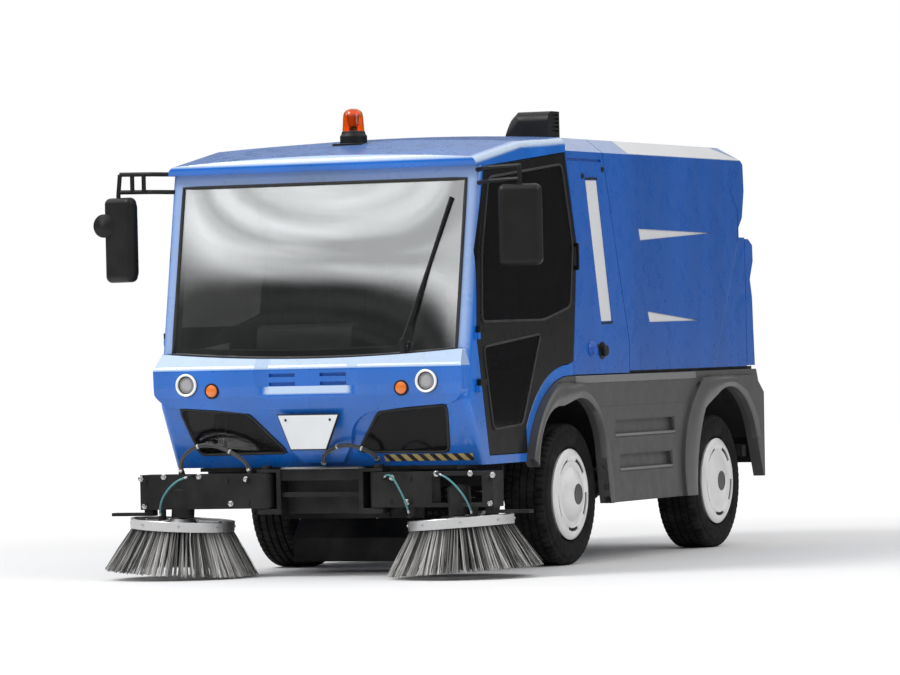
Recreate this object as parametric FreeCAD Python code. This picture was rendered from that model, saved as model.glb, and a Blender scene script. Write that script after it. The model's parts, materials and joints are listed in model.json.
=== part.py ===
import FreeCAD, Part
import math
import os

V = FreeCAD.Vector

# Compact street sweeper truck with a forward cab, a tipping hopper behind it and two
# side brushes in front. Millimetres. While a piece is drawn, Y is measured backwards
# from the front axle, X to the vehicle's left and Z up from the ground.

# Heights, stacked up from the ground
TYRE_RADIUS = 390.0
AXLE_RADIUS = 48.0
SPRING_HEIGHT = 40.0
RAIL_HEIGHT = 112.0
SILL_HEIGHT = 454.0
BELT_HEIGHT = 164.0
GLASS_HEIGHT = 1070.0
ROOF_CROWN = 74.0
TOP_CAMBER = 26.0
RAIL_BOTTOM_Z = TYRE_RADIUS + AXLE_RADIUS + SPRING_HEIGHT
FLOOR_Z = RAIL_BOTTOM_Z + RAIL_HEIGHT
DECK_Z = FLOOR_Z + SILL_HEIGHT
BELT_Z = DECK_Z + BELT_HEIGHT
ROOF_REAR_Z = BELT_Z + GLASS_HEIGHT
ROOF_TOP_Z = ROOF_REAR_Z + ROOF_CROWN
CROWN_Z = ROOF_TOP_Z + TOP_CAMBER
ROOF_RISE = 100.0
ROOF_FRONT_Z = ROOF_REAR_Z - ROOF_RISE

# Lengths, from the front axle
WHEELBASE = 2240.0
FRONT_OVERHANG = 1425.0
REAR_OVERHANG = 604.0
CAB_BACK_Y = 90.0
HOUSING_LENGTH = 699.0
GATE_DEPTH = 137.0
BUMPER_REACH = 65.0
CAB_NOSE_Y = -FRONT_OVERHANG
HOPPER_FRONT_Y = CAB_BACK_Y + HOUSING_LENGTH
BUMPER_REAR_Y = WHEELBASE + REAR_OVERHANG
HOPPER_REAR_Y = BUMPER_REAR_Y - BUMPER_REACH - GATE_DEPTH
ROOF_JOINT_Y = CAB_BACK_Y - 178

# Widths, from the middle plane
BODY_HALF_WIDTH = 940.0
CAB_TAPER = 35.0
REAR_STEP = 45.0
SKIRT_PROUD = 5.0
FLARE_PROUD = 30.0
CAB_FRONT_HALF_WIDTH = BODY_HALF_WIDTH - CAB_TAPER
CAB_REAR_HALF_WIDTH = BODY_HALF_WIDTH - REAR_STEP
SKIRT_HALF_WIDTH = BODY_HALF_WIDTH + SKIRT_PROUD
FLARE_HALF_WIDTH = BODY_HALF_WIDTH + FLARE_PROUD

# Fits between pieces
RUNNING_FIT = 0.05
SEAT_GAP = 0.3
SKIN_GAP = 5.0
BODY_GAP = 14.0

# Wheels and axles
WHEEL_INSET = 172.0
TYRE_HALF_WIDTH = 122.0
BEAD_RADIUS = 222.0
BEAD_SETBACK = 34.0
COVER_RADIUS = 250.0
COVER_PROUD = 12.0
FRONT_DOME = 46.0
REAR_DOME = 26.0
COVER_SLOTS = 5
HUB_RADIUS = 74.0
SPINDLE_RADIUS = 30.0
KINGPIN_OFFSET = 158.0
KINGPIN_RADIUS = 22.0
FIST_RADIUS = 42.0
FIST_HEIGHT = 110.0
KNUCKLE_EAR = 32.0
AXLE_DROP = 52.0
WHEEL_CENTRE_X = BODY_HALF_WIDTH - WHEEL_INSET
KINGPIN_X = WHEEL_CENTRE_X - KINGPIN_OFFSET
BEAD_HALF_WIDTH = TYRE_HALF_WIDTH - BEAD_SETBACK

# Leaf springs under the rails
SPRING_HALF_LENGTH = 450.0
SPRING_WIDTH = 60.0
SPRING_LEAF = 9.0
SPRING_LEAVES = 3
SPRING_EYE = 11.0

# Cab and body panels
WALL = 35.0
GLASS_THICKNESS = 6.0
CAB_CORNER_RADIUS = 42.0
HINGE_RADIUS = 10.0
HINGE_PIN = 5.0
HINGE_HEIGHT = 35.0
DOOR_PIVOT_X = BODY_HALF_WIDTH - 15
DOOR_PIVOT_Y = CAB_NOSE_Y + 135

# Front wheel arch: cab edge, door edge and skirt edge are arcs about one centre.
ARCH_CENTRE_Y = -104.0
ARCH_RADIUS = 605.0
DOOR_BAND = 63.0
ARCH_CENTRE_Z = DECK_Z - ARCH_RADIUS

# Chassis
RAIL_X = 380.0
RAIL_WIDTH = 80.0
RAIL_PLATE = 10.0
CROSS_HALF_LENGTH = 30.0
CROSS_HEIGHT = 36.0
TAIL_BEAM = 50.0
RAIL_FRONT_Y = CAB_NOSE_Y + 225
RAIL_REAR_Y = BUMPER_REAR_Y - 154
SUBFRAME_HEIGHT = 58.0
POST_HALF_LENGTH = 40.0

# Rear towing eye, a plate with an upright bore
TOW_EYE_RADIUS = 20.0
TOW_PLATE = 26.0
TOW_EYE_Y = BUMPER_REAR_Y - 44
TOW_EYE_Z = RAIL_BOTTOM_Z - 42

# Side skirts
SKIRT_THICKNESS = 42.0
SKIRT_BOTTOM_Z = RAIL_BOTTOM_Z - 153
SKIRT_TOP_Z = DECK_Z - 4
SKIRT_REAR_Y = BUMPER_REAR_Y - 44
LINER_THICKNESS = 6.0
LINER_INNER_X = 470.0
REAR_LINER_RADIUS = 581.0

# Hopper and tailgate
HOPPER_WALL = 36.0
CHAMFER_DROP = 77.0
CHAMFER_WIDTH = 90.0
PRESSING_DEPTH = 10.0
SHELF_SHARE = 0.59
TIP_PIVOT_X = 420.0
TIP_PIN_RADIUS = 15.0
TIP_PLATE = 18.0
TIP_PIVOT_DROP = 38.0
GATE_HINGE_X = 600.0
GATE_PIN_RADIUS = 12.0
GATE_GAP = 8.0
HOPPER_BOTTOM_Z = DECK_Z + BODY_GAP
SHELF_Z = HOPPER_BOTTOM_Z + 0.59 * (ROOF_TOP_Z - HOPPER_BOTTOM_Z)
TIP_PIVOT_Y = BUMPER_REAR_Y - 54
TIP_PIVOT_Z = HOPPER_BOTTOM_Z - TIP_PIVOT_DROP
GATE_PIVOT_Y = HOPPER_REAR_Y - 2
GATE_PIVOT_Z = SHELF_Z + 24.5

# Tipping cylinders
CYLINDER_X = 200.0
CYLINDER_RUN = 1150.0
TIP_LEVER = 340.0
BARREL_RADIUS = 38.0
RAM_RADIUS = 24.0
EYE_RADIUS = 28.0
BARREL_PIN = 14.0
ROD_EYE_Y = TIP_PIVOT_Y - TIP_LEVER
ROD_EYE_Z = TIP_PIVOT_Z - 20
BARREL_PIVOT_Y = ROD_EYE_Y - CYLINDER_RUN
BARREL_PIVOT_Z = RAIL_BOTTOM_Z + 82

# Sweeping gear
BRUSH_TILT = 3.5
DISC_RADIUS = 277.0
DISC_RIM = 30.0
BRISTLE_RADIUS = 425.0
BRISTLE_TIP_Z = 4.0
TUFTS = 30
TUFT_FOOT = 36.0
TUFT_TIP = 62.0
ARM_PIVOT_X = 330.0
ARM_REACH = 710.0
ARM_PIN = 20.0
ARM_EYE = 44.0
ARM_HEIGHT = 188.0
MOTOR_RADIUS = 62.0
BRUSH_X = BODY_HALF_WIDTH - 118
BRUSH_Y = CAB_NOSE_Y + 85
ARM_PIVOT_Y = CAB_NOSE_Y + 125
ARM_END_X = ARM_PIVOT_X + ARM_REACH
ARM_BOTTOM_Z = RAIL_BOTTOM_Z - 106
ARM_TOP_Z = ARM_BOTTOM_Z + ARM_HEIGHT
DISC_Z = ARM_BOTTOM_Z - 87

# Suction nozzle and duct
DUCT_RADIUS = 105.0
DUCT_WALL = 8.0
DUCT_BEND = 150.0
DUCT_Z = RAIL_BOTTOM_Z + 82
DUCT_PORT_Y = HOPPER_FRONT_Y + 211
NOZZLE_HALF_WIDTH = 420.0
NOZZLE_Y = -620.0
NOZZLE_PLATE = 12.0

# Hoses
HYDRAULIC_HOSE = 24.0
SPRAY_HOSE = 11.0

# The origin stands halfway between the foremost bristle tip and the rear lamps.
LAMP_PROUD = 6.0
FRONT_AXLE_Y = -(BUMPER_REAR_Y + LAMP_PROUD + BRUSH_Y - BRISTLE_RADIUS) / 2

NODES = {}


def lower(share):
    """Height between the cab's floor and the foot of its windshield."""
    return FLOOR_Z + share * (BELT_Z - FLOOR_Z)


def upper(share):
    """Height between the foot of the windshield and the roof's rear joint."""
    return BELT_Z + share * (ROOF_REAR_Z - BELT_Z)


def load(share):
    """Height between the hopper's floor and its top."""
    return HOPPER_BOTTOM_Z + share * (ROOF_TOP_Z - HOPPER_BOTTOM_Z)


def gate(share):
    """Height between the tailgate's foot and its head."""
    foot, head = HOPPER_BOTTOM_Z + 4, SHELF_Z - GATE_GAP
    return foot + share * (head - foot)


def wide(share):
    """Share of the cab's half width at its front."""
    return share * CAB_FRONT_HALF_WIDTH


def side(y, z):
    return V(0, y, z)


def front(x, z):
    return V(x, 0, z)


def plan(x, y):
    return V(x, y, 0)


def corner_arc(before, corner, after, radius):
    """Start, middle and end of the arc that rounds a corner between two straight runs."""
    into = (corner - before).normalize()
    out = (after - corner).normalize()
    half = into.getAngle(out) / 2
    trim = radius * math.tan(half)
    bulge = radius / math.cos(half) - radius
    return corner - into * trim, corner + (out - into).normalize() * bulge, corner + out * trim


def outline(plane, steps):
    """Closed wire. A step is a point, a point with a corner radius, or two points of an arc."""
    points = [plane(*step[:2]) if len(step) < 4 else plane(*step[2:]) for step in steps]
    count = len(steps)
    starts, ends = list(points), list(points)
    edges = []
    for i, step in enumerate(steps):
        if len(step) == 3:
            before, after = points[i - 1], points[(i + 1) % count]
            starts[i], mid, ends[i] = corner_arc(before, points[i], after, step[2])
            edges.append((i + 0.5, Part.Arc(starts[i], mid, ends[i]).toShape()))
    for i in range(count):
        j = (i + 1) % count
        if len(steps[j]) == 4:
            edges.append((i + 0.7, Part.Arc(ends[i], plane(*steps[j][:2]), starts[j]).toShape()))
        elif (ends[i] - starts[j]).Length > 1e-6:
            edges.append((i + 0.7, Part.LineSegment(ends[i], starts[j]).toShape()))
    return Part.Wire([edge for place, edge in sorted(edges, key=lambda pair: pair[0])])


def arch_point(radius, angle):
    """Point on a circle about the front arch's centre, as Y and Z; 90 degrees is its top."""
    a = math.radians(angle)
    return ARCH_CENTRE_Y + radius * math.cos(a), ARCH_CENTRE_Z + radius * math.sin(a)


def arch_arc(radius, start, end):
    """Arc step about the front arch's centre, from one angle to another."""
    return arch_point(radius, (start + end) / 2) + arch_point(radius, end)


def across(steps, x0, x1):
    """Side outline drawn in Y and Z, extruded across the vehicle."""
    face = Part.Face(outline(side, steps))
    face.translate(V(x0, 0, 0))
    return face.extrude(V(x1 - x0, 0, 0))


def across_side(steps, sign, x0, x1):
    """Side outline extruded on one side of the vehicle: 1 is its left and -1 its right."""
    low, high = sorted((sign * x0, sign * x1))
    return across(steps, low, high)


def along(steps, y0, y1):
    """Front outline drawn in X and Z, extruded along the vehicle."""
    face = Part.Face(outline(front, steps))
    face.translate(V(0, y0, 0))
    return face.extrude(V(0, y1 - y0, 0))


def upright(steps, z0, z1):
    """Plan outline drawn in X and Y, extruded upwards."""
    face = Part.Face(outline(plan, steps))
    face.translate(V(0, 0, z0))
    return face.extrude(V(0, 0, z1 - z0))


def block(x0, x1, y0, y1, z0, z1):
    x0, x1 = sorted((x0, x1))
    return Part.makeBox(x1 - x0, y1 - y0, z1 - z0, V(x0, y0, z0))


def rod(start, end, radius):
    run = V(*end) - V(*start)
    return Part.makeCylinder(radius, run.Length, V(*start), run)


def pin_across(x, y, z, half_length, radius):
    return rod((x - half_length, y, z), (x + half_length, y, z), radius)


def turned(profile, centre, axis):
    """Profile of radius and distance along the axis, revolved about it."""
    wire = outline(lambda r, a: V(r, 0, a), profile)
    solid = Part.Face(wire).revolve(V(0, 0, 0), V(0, 0, 1), 360)
    solid = Part.Solid(solid.Shells[0]) if solid.ShapeType != "Solid" else solid
    turn = FreeCAD.Rotation(V(0, 0, 1), V(*axis))
    solid.Placement = FreeCAD.Placement(V(*centre), turn)
    return solid


def turned_sector(inner, outer, half_angle, low, high):
    """Piece of a ring about Z, between two radii and an angle to each side of X."""
    a = math.radians(half_angle)
    steps = [
        (inner * math.cos(a), -inner * math.sin(a)),
        (outer * math.cos(a), -outer * math.sin(a)),
        (outer, 0, outer * math.cos(a), outer * math.sin(a)),
        (inner * math.cos(a), inner * math.sin(a)),
        (inner, 0, inner * math.cos(a), -inner * math.sin(a)),
    ]
    return upright(steps, low, high)


def cap(radius, base, height):
    """Arc step of a spherical cap on the axis, from its rim to its crown."""
    ball = (radius * radius + height * height) / (2 * height)
    part_way = 0.6 * radius
    return part_way, base + height - ball + math.sqrt(ball * ball - part_way * part_way), 0, base + height


def mirrored(shape):
    return shape.mirror(V(0, 0, 0), V(1, 0, 0))


def fused(shapes):
    return shapes[0].multiFuse(shapes[1:]).removeSplitter() if len(shapes) > 1 else shapes[0]


def both_sides(shape):
    return Part.makeCompound([shape, mirrored(shape)])


def rounded(shape, radius, pick):
    edges = [edge for edge in shape.Edges if pick(edge)]
    return shape.makeFillet(radius, edges)


def middle(edge):
    return edge.valueAt((edge.FirstParameter + edge.LastParameter) / 2)


# Cab outlines, as Y and Z on the vehicle's side
CAB_ARCH_END = 180 - math.degrees(math.asin((FLOOR_Z - ARCH_CENTRE_Z) / ARCH_RADIUS))
DOOR_ARCH_END = 150.0
WAIST_Z = upper(0.511)
PILLAR_LINE = [
    (ROOF_JOINT_Y, ROOF_REAR_Z),
    (CAB_BACK_Y - 40, WAIST_Z),
    (CAB_BACK_Y - 104, BELT_Z + 29),
    (CAB_BACK_Y - 124, DECK_Z + 70),
    (CAB_BACK_Y - 124, DECK_Z + 2),
]
CAB_FRONT = [
    (CAB_NOSE_Y + 190, FLOOR_Z),
    (CAB_NOSE_Y, DECK_Z - 114, 90),
    (CAB_NOSE_Y + 46, BELT_Z, 300),
    (CAB_NOSE_Y + 225, ROOF_FRONT_Z - 72, 60),
    (CAB_NOSE_Y + 239, ROOF_FRONT_Z),
]
CAB_SIDE = CAB_FRONT + [
    (ROOF_JOINT_Y, ROOF_REAR_Z - SKIN_GAP),
    (CAB_BACK_Y, ROOF_REAR_Z - SKIN_GAP),
    (CAB_BACK_Y, DECK_Z),
    (ARCH_CENTRE_Y, DECK_Z),
    arch_arc(ARCH_RADIUS, 90, CAB_ARCH_END),
]
DOOR_FOOT = (CAB_NOSE_Y + 275, FLOOR_Z + 50)
DOOR_KNEE = (CAB_NOSE_Y + 142, BELT_Z + 66)
DOOR = [
    DOOR_FOOT,
    DOOR_KNEE,
    (CAB_NOSE_Y + 163, upper(0.481)),
    (CAB_NOSE_Y + 279, ROOF_REAR_Z - 112),
    (ROOF_JOINT_Y - 10, ROOF_REAR_Z - 16),
    (CAB_BACK_Y - 48, WAIST_Z),
    (CAB_BACK_Y - 112, BELT_Z + 29),
    (CAB_BACK_Y - 132, DECK_Z + 78),
    arch_point(ARCH_RADIUS + DOOR_BAND, 91),
    arch_arc(ARCH_RADIUS + DOOR_BAND, 91, DOOR_ARCH_END),
    (ARCH_CENTRE_Y - 568, FLOOR_Z + 50),
]
DOOR_WINDOW = [
    (CAB_NOSE_Y + 207, BELT_Z + 137),
    (CAB_NOSE_Y + 225, upper(0.481)),
    (CAB_NOSE_Y + 327, ROOF_REAR_Z - 166),
    (CAB_BACK_Y - 236, ROOF_REAR_Z - 78),
    (CAB_BACK_Y - 106, WAIST_Z),
    (CAB_BACK_Y - 156, BELT_Z + 212),
    (CAB_BACK_Y - 510, BELT_Z + 142),
]
DOOR_PANE = [
    (CAB_NOSE_Y + 220, BELT_Z + 4),
    (CAB_BACK_Y - 560, BELT_Z + 67),
    (ARCH_CENTRE_Y - 626, FLOOR_Z + 200),
    (CAB_NOSE_Y + 323, FLOOR_Z + 180),
]

# Cab outlines, as X and Z on its front
GLASS_EDGE_X = CAB_FRONT_HALF_WIDTH - 70
WINDSHIELD = [
    (-GLASS_EDGE_X, ROOF_FRONT_Z - 72),
    (GLASS_EDGE_X, ROOF_FRONT_Z - 72),
    (GLASS_EDGE_X, BELT_Z),
    (0, BELT_Z - 34, -GLASS_EDGE_X, BELT_Z),
]
LOWER_WINDOW = [
    (wide(0.869), DECK_Z - 130),
    (wide(0.427), DECK_Z - 160),
    (wide(0.228), FLOOR_Z + 78),
    (wide(0.812), FLOOR_Z + 72),
]


def cab_plan(inset):
    """The cab seen from above, narrower at its front."""
    front_x = CAB_FRONT_HALF_WIDTH - inset
    rear_x = BODY_HALF_WIDTH - inset
    ahead, behind = CAB_NOSE_Y - 75, CAB_BACK_Y + 110
    return [
        (-front_x, ahead), (front_x, ahead), (rear_x, ARCH_CENTRE_Y), (rear_x, behind),
        (-rear_x, behind), (-rear_x, ARCH_CENTRE_Y),
    ]


def cab_solid(inset):
    """The closed outer form of the cab, drawn in from its skin by an inset."""
    wire = outline(side, CAB_SIDE)
    if inset:
        wire = wire.makeOffset2D(-inset, 2, False, False, True)
    face = Part.Face(wire)
    half = BODY_HALF_WIDTH + 10
    face.translate(V(-half, 0, 0))
    body = face.extrude(V(2 * half, 0, 0))
    body = body.common(upright(cab_plan(inset), FLOOR_Z - 50, ROOF_TOP_Z))
    if inset < GLASS_THICKNESS + 1:
        radius = CAB_CORNER_RADIUS - inset

        def front_corner(edge):
            a, b = edge.Vertexes[0].Point, edge.Vertexes[-1].Point
            ahead = max(a.y, b.y) < CAB_NOSE_Y + 275
            return ahead and abs(middle(edge).x) > CAB_FRONT_HALF_WIDTH - 15 and abs(a.z - b.z) > 60

        body = rounded(body, radius, front_corner)
    return body


def prism(plane, steps, gap, start, run):
    """Outline drawn in by a gap, moved to its start and extruded."""
    wire = outline(plane, steps)
    if gap:
        wire = wire.makeOffset2D(-gap, 2, False, False, True)
    face = Part.Face(wire)
    face.translate(start)
    return face.extrude(run)


def window_prism(steps, gap):
    return prism(front, steps, gap, V(0, CAB_NOSE_Y - 175, 0), V(0, 500, 0))


def side_prism(steps, gap, inner=78, outer=60):
    """Prism through the left side, from so far inside the body's side to so far outside it."""
    return prism(side, steps, gap, V(BODY_HALF_WIDTH - inner, 0, 0), V(inner + outer, 0, 0))


def clip_to_cab_rear(shape):
    """Behind the doors the cab is narrower, inside the panels of the engine housing."""
    line = [(y - SKIN_GAP, z) for y, z in PILLAR_LINE]
    behind = CAB_BACK_Y + 110
    head = ROOF_TOP_Z + 50
    steps = [(line[0][0], head)] + line + [(line[-1][0], DECK_Z - 44), (behind, DECK_Z - 44), (behind, head)]
    for sign in (-1, 1):
        shape = shape.cut(across_side(steps, sign, CAB_REAR_HALF_WIDTH, BODY_HALF_WIDTH + 60))
    return shape


def hinge_skin_x():
    """Half width of the cab's skin beside the door's hinge line."""
    run = (DOOR_PIVOT_Y - CAB_NOSE_Y + 75) / (ARCH_CENTRE_Y - CAB_NOSE_Y + 75)
    return CAB_FRONT_HALF_WIDTH + CAB_TAPER * run


def door_hinges():
    """Left door's hinges: the half on the cab with its pin, and the half on the door."""
    x, y = DOOR_PIVOT_X, DOOR_PIVOT_Y
    skin = hinge_skin_x()
    fixed, moving = [], []
    for z in (BELT_Z - 200, BELT_Z + 80):
        low, high = z - HINGE_HEIGHT, z + HINGE_HEIGHT
        fixed.append(rod((x, y, low), (x, y, z - 1), HINGE_RADIUS))
        fixed.append(block(skin - 8, x - 4, y - 26, y, low, z - 1))
        fixed.append(rod((x, y, z - 2), (x, y, high), HINGE_PIN))
        share = (z - DOOR_FOOT[1]) / (DOOR_KNEE[1] - DOOR_FOOT[1])
        edge_y = DOOR_FOOT[0] + share * (DOOR_KNEE[0] - DOOR_FOOT[0])
        knuckle = rod((x, y, z + 1), (x, y, high), HINGE_RADIUS)
        strap = block(skin + 3, x - 4, y, edge_y + 46, z + 1, high)
        foot = block(skin - 6, x - 4, edge_y + 12, edge_y + 46, z + 1, high)
        half = fused([knuckle, strap, foot])
        moving.append(half.cut(rod((x, y, z), (x, y, high + 1), HINGE_PIN + RUNNING_FIT)))
    return fixed, moving


def make_cab():
    outer = cab_solid(0)
    hollow = cab_solid(WALL)
    narrow_x = CAB_REAR_HALF_WIDTH - WALL
    wide_x = BODY_HALF_WIDTH
    low, high = FLOOR_Z - 90, ROOF_TOP_Z + 50
    ahead, behind = CAB_NOSE_Y - 175, CAB_BACK_Y + 210
    narrow = block(-narrow_x, narrow_x, ahead, behind, low, high)
    hollow = hollow.common(fused([narrow, block(-wide_x, wide_x, ahead, ROOF_JOINT_Y - 22, low, high)]))
    shell = clip_to_cab_rear(outer).cut(hollow)
    door_hole = side_prism(DOOR, -SKIN_GAP)
    shell = shell.cut(door_hole).cut(mirrored(door_hole))
    shell = shell.cut(window_prism(WINDSHIELD, 0))
    lower_window = window_prism(LOWER_WINDOW, 0)
    shell = shell.cut(lower_window).cut(mirrored(lower_window))
    fixed, moving = door_hinges()
    NODES["cab_shell"] = fused([shell] + fixed + [mirrored(piece) for piece in fixed])
    glass_skin = outer.cut(cab_solid(GLASS_THICKNESS))
    small = window_prism(LOWER_WINDOW, SEAT_GAP)
    panes = [glass_skin.common(window_prism(WINDSHIELD, SEAT_GAP))]
    panes += [glass_skin.common(small), glass_skin.common(mirrored(small))]
    NODES["cab_glass"] = Part.makeCompound([pane.Solids[0] for pane in panes])
    leaf = outer.cut(cab_solid(WALL)).common(side_prism(DOOR, 0))
    for window in (DOOR_WINDOW, DOOR_PANE):
        leaf = leaf.cut(side_prism(window, 0, 140))
    leaf = fused([leaf.Solids[0]] + moving + [door_handle()])
    panes = [glass_skin.common(side_prism(w, SEAT_GAP)).Solids[0] for w in (DOOR_WINDOW, DOOR_PANE)]
    glass = Part.makeCompound(panes)
    NODES["door_left"] = leaf
    NODES["door_right"] = mirrored(leaf)
    NODES["door_glass_left"] = glass
    NODES["door_glass_right"] = mirrored(glass)


def door_handle():
    """Pull handle on the left door's rear stile."""
    x = BODY_HALF_WIDTH
    y, z = CAB_BACK_Y - 78, WAIST_Z - 60
    grip = block(x + 14, x + 26, y - 9, y + 9, z - 75, z + 75)
    feet = [block(x - 8, x + 15, y - 9, y + 9, z + s * 62 - 11, z + s * 62 + 11) for s in (-1, 1)]
    return rounded(fused([grip] + feet), 4, lambda edge: abs(middle(edge).x - x - 26) < 0.1)


def camber_prism(start, end):
    """Body under a roof that is cambered from side to side, along one straight crown line."""
    (y0, z0), (y1, z1) = start, end
    half = BODY_HALF_WIDTH + 40
    sag = TOP_CAMBER * (half / (BODY_HALF_WIDTH - CHAMFER_WIDTH)) ** 2
    body = along([(-half, -600), (half, -600), (half, -sag), (0, 0, -half, -sag)], -1500, 1500)
    body.rotate(V(0, 0, 0), V(1, 0, 0), math.degrees(math.atan2(z1 - z0, y1 - y0)))
    body.translate(V(0, y0, z0))
    return body


def make_roof():
    brow = (CAB_NOSE_Y + 245, ROOF_FRONT_Z + 82)
    break_point = (CAB_NOSE_Y + 746, CROWN_Z - 34)
    back = (ROOF_JOINT_Y, CROWN_Z)
    profile = [
        (CAB_NOSE_Y + 239, ROOF_FRONT_Z),
        (CAB_NOSE_Y + 189, ROOF_FRONT_Z - 6),
        (CAB_NOSE_Y + 182, ROOF_FRONT_Z + 40) + brow,
        break_point,
        back,
        (ROOF_JOINT_Y, ROOF_REAR_Z - SKIN_GAP),
    ]
    roof = across(profile, -BODY_HALF_WIDTH, BODY_HALF_WIDTH)
    roof = roof.common(upright(cab_plan(0), FLOOR_Z, CROWN_Z + 50))
    roof = roof.common(camber_prism(brow, break_point)).common(camber_prism(break_point, back))

    def upper_side(edge):
        at = middle(edge)
        return abs(at.x) > CAB_FRONT_HALF_WIDTH - 20 and at.z > ROOF_FRONT_Z + 55 and edge.Length > 200

    NODES["cab_roof"] = rounded(roof, 46, upper_side)


# Front moulding: two wings with the lamps, and a middle panel set back between them
WING_INNER_X = 305.0
PANEL_HALF_WIDTH = 230.0
LOUVRE_X = 150.0
HEADLAMP = (705.0, DECK_Z - 3, 52.0, 10.0)
INDICATOR = (557.0, DECK_Z - 37, 37.0, 16.0)
LAMP_SEAT_Y = CAB_NOSE_Y - 21


def brow_profile(setback, ledge):
    """Side profile of the moulding; the middle panel is set back above its ledge."""
    nose = CAB_NOSE_Y
    return [
        (nose + 55, BELT_Z + 6),
        (nose + 10 + setback, BELT_Z - 2),
        (nose - 63 + setback, BELT_Z - 82, 40),
        (nose - 59 + setback, DECK_Z - 18, ledge),
        (nose - 51, DECK_Z - 70, 40),
        (nose - 21, DECK_Z - 139),
        (nose + 153, FLOOR_Z + 4),
        (nose + 225, FLOOR_Z + 4),
        (nose + 225, BELT_Z + 6),
    ]


def make_front_panel():
    wing = outline(side, brow_profile(0, 60))
    middle_wire = outline(side, brow_profile(24, 8))
    pieces = [across(brow_profile(24, 8), -PANEL_HALF_WIDTH, PANEL_HALF_WIDTH)]
    for sign in (-1, 1):
        pieces.append(across_side(brow_profile(0, 60), sign, WING_INNER_X, CAB_FRONT_HALF_WIDTH))
        flank = [middle_wire.copy(), wing.copy()]
        flank[0].translate(V(sign * PANEL_HALF_WIDTH, 0, 0))
        flank[1].translate(V(sign * WING_INNER_X, 0, 0))
        pieces.append(Part.makeLoft(flank, True, True))
    half_view = [
        (wide(0.977), BELT_Z),
        (wide(1.0), BELT_Z - 88),
        (wide(0.983), DECK_Z - 76, wide(0.91), DECK_Z - 122),
        (wide(0.615), DECK_Z - 140),
        (wide(0.4), DECK_Z - 162),
        (wide(0.325), DECK_Z - 184, wide(0.217), FLOOR_Z + 130),
        (wide(0.13), FLOOR_Z + 22),
    ]
    arch_top = (0, BELT_Z - 38)
    right_view = [(-wide(0.13), FLOOR_Z + 22), (-wide(0.217), FLOOR_Z + 130)]
    right_view += [(-wide(0.325), DECK_Z - 184, -wide(0.4), DECK_Z - 162), (-wide(0.615), DECK_Z - 140)]
    right_view += [(-wide(0.91), DECK_Z - 122), (-wide(0.983), DECK_Z - 76, -wide(1.0), BELT_Z - 88)]
    view = half_view + right_view + [(-wide(0.977), BELT_Z)]
    first = (-wide(0.977), BELT_Z) + ()
    view = [first, arch_top + (wide(0.977), BELT_Z)] + view[1:-1]
    panel = fused(pieces).common(along(view, CAB_NOSE_Y - 175, CAB_NOSE_Y + 325)).cut(cab_solid(0))
    for z in (DECK_Z - 6, DECK_Z + 41):
        for sign in (-1, 1):
            x = sign * LOUVRE_X
            panel = panel.cut(block(x - 77, x + 77, CAB_NOSE_Y - 100, CAB_NOSE_Y - 20, z - 9, z + 9))
    lamps = []
    for x, z, radius, proud in (HEADLAMP, INDICATOR):
        for sign in (-1, 1):
            panel = panel.cut(rod((sign * x, CAB_NOSE_Y - 95, z), (sign * x, LAMP_SEAT_Y, z), radius))
            glass = radius - SEAT_GAP
            lamps.append(
                turned([(0, 0), (glass, 0), (glass, 26), cap(glass, 26, proud)],
                       (sign * x, LAMP_SEAT_Y, z), (0, -1, 0))
            )
    NODES["front_panel"] = max(panel.Solids, key=lambda solid: solid.Volume)
    NODES["front_lamps"] = Part.makeCompound(lamps)


# Slanting joint between the engine housing and the hopper, as Y and Z
HOPPER_LINE = [
    (HOPPER_FRONT_Y, load(0.132)),
    (HOPPER_FRONT_Y - 183, load(0.566)),
    (HOPPER_FRONT_Y - 336, load(0.93)),
]


def body_view(inset):
    """Front view of the housing and the hopper: a cambered top with a chamfer at each side."""
    half = BODY_HALF_WIDTH - inset
    top = ROOF_TOP_Z - inset
    shoulder = ROOF_TOP_Z - CHAMFER_DROP - 0.4 * inset
    edge = half - CHAMFER_WIDTH + 0.4 * inset
    foot = DECK_Z - 44
    return [(-half, foot), (half, foot), (half, shoulder), (edge, top), (0, top + TOP_CAMBER, -edge, top), (-half, shoulder)]


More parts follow.
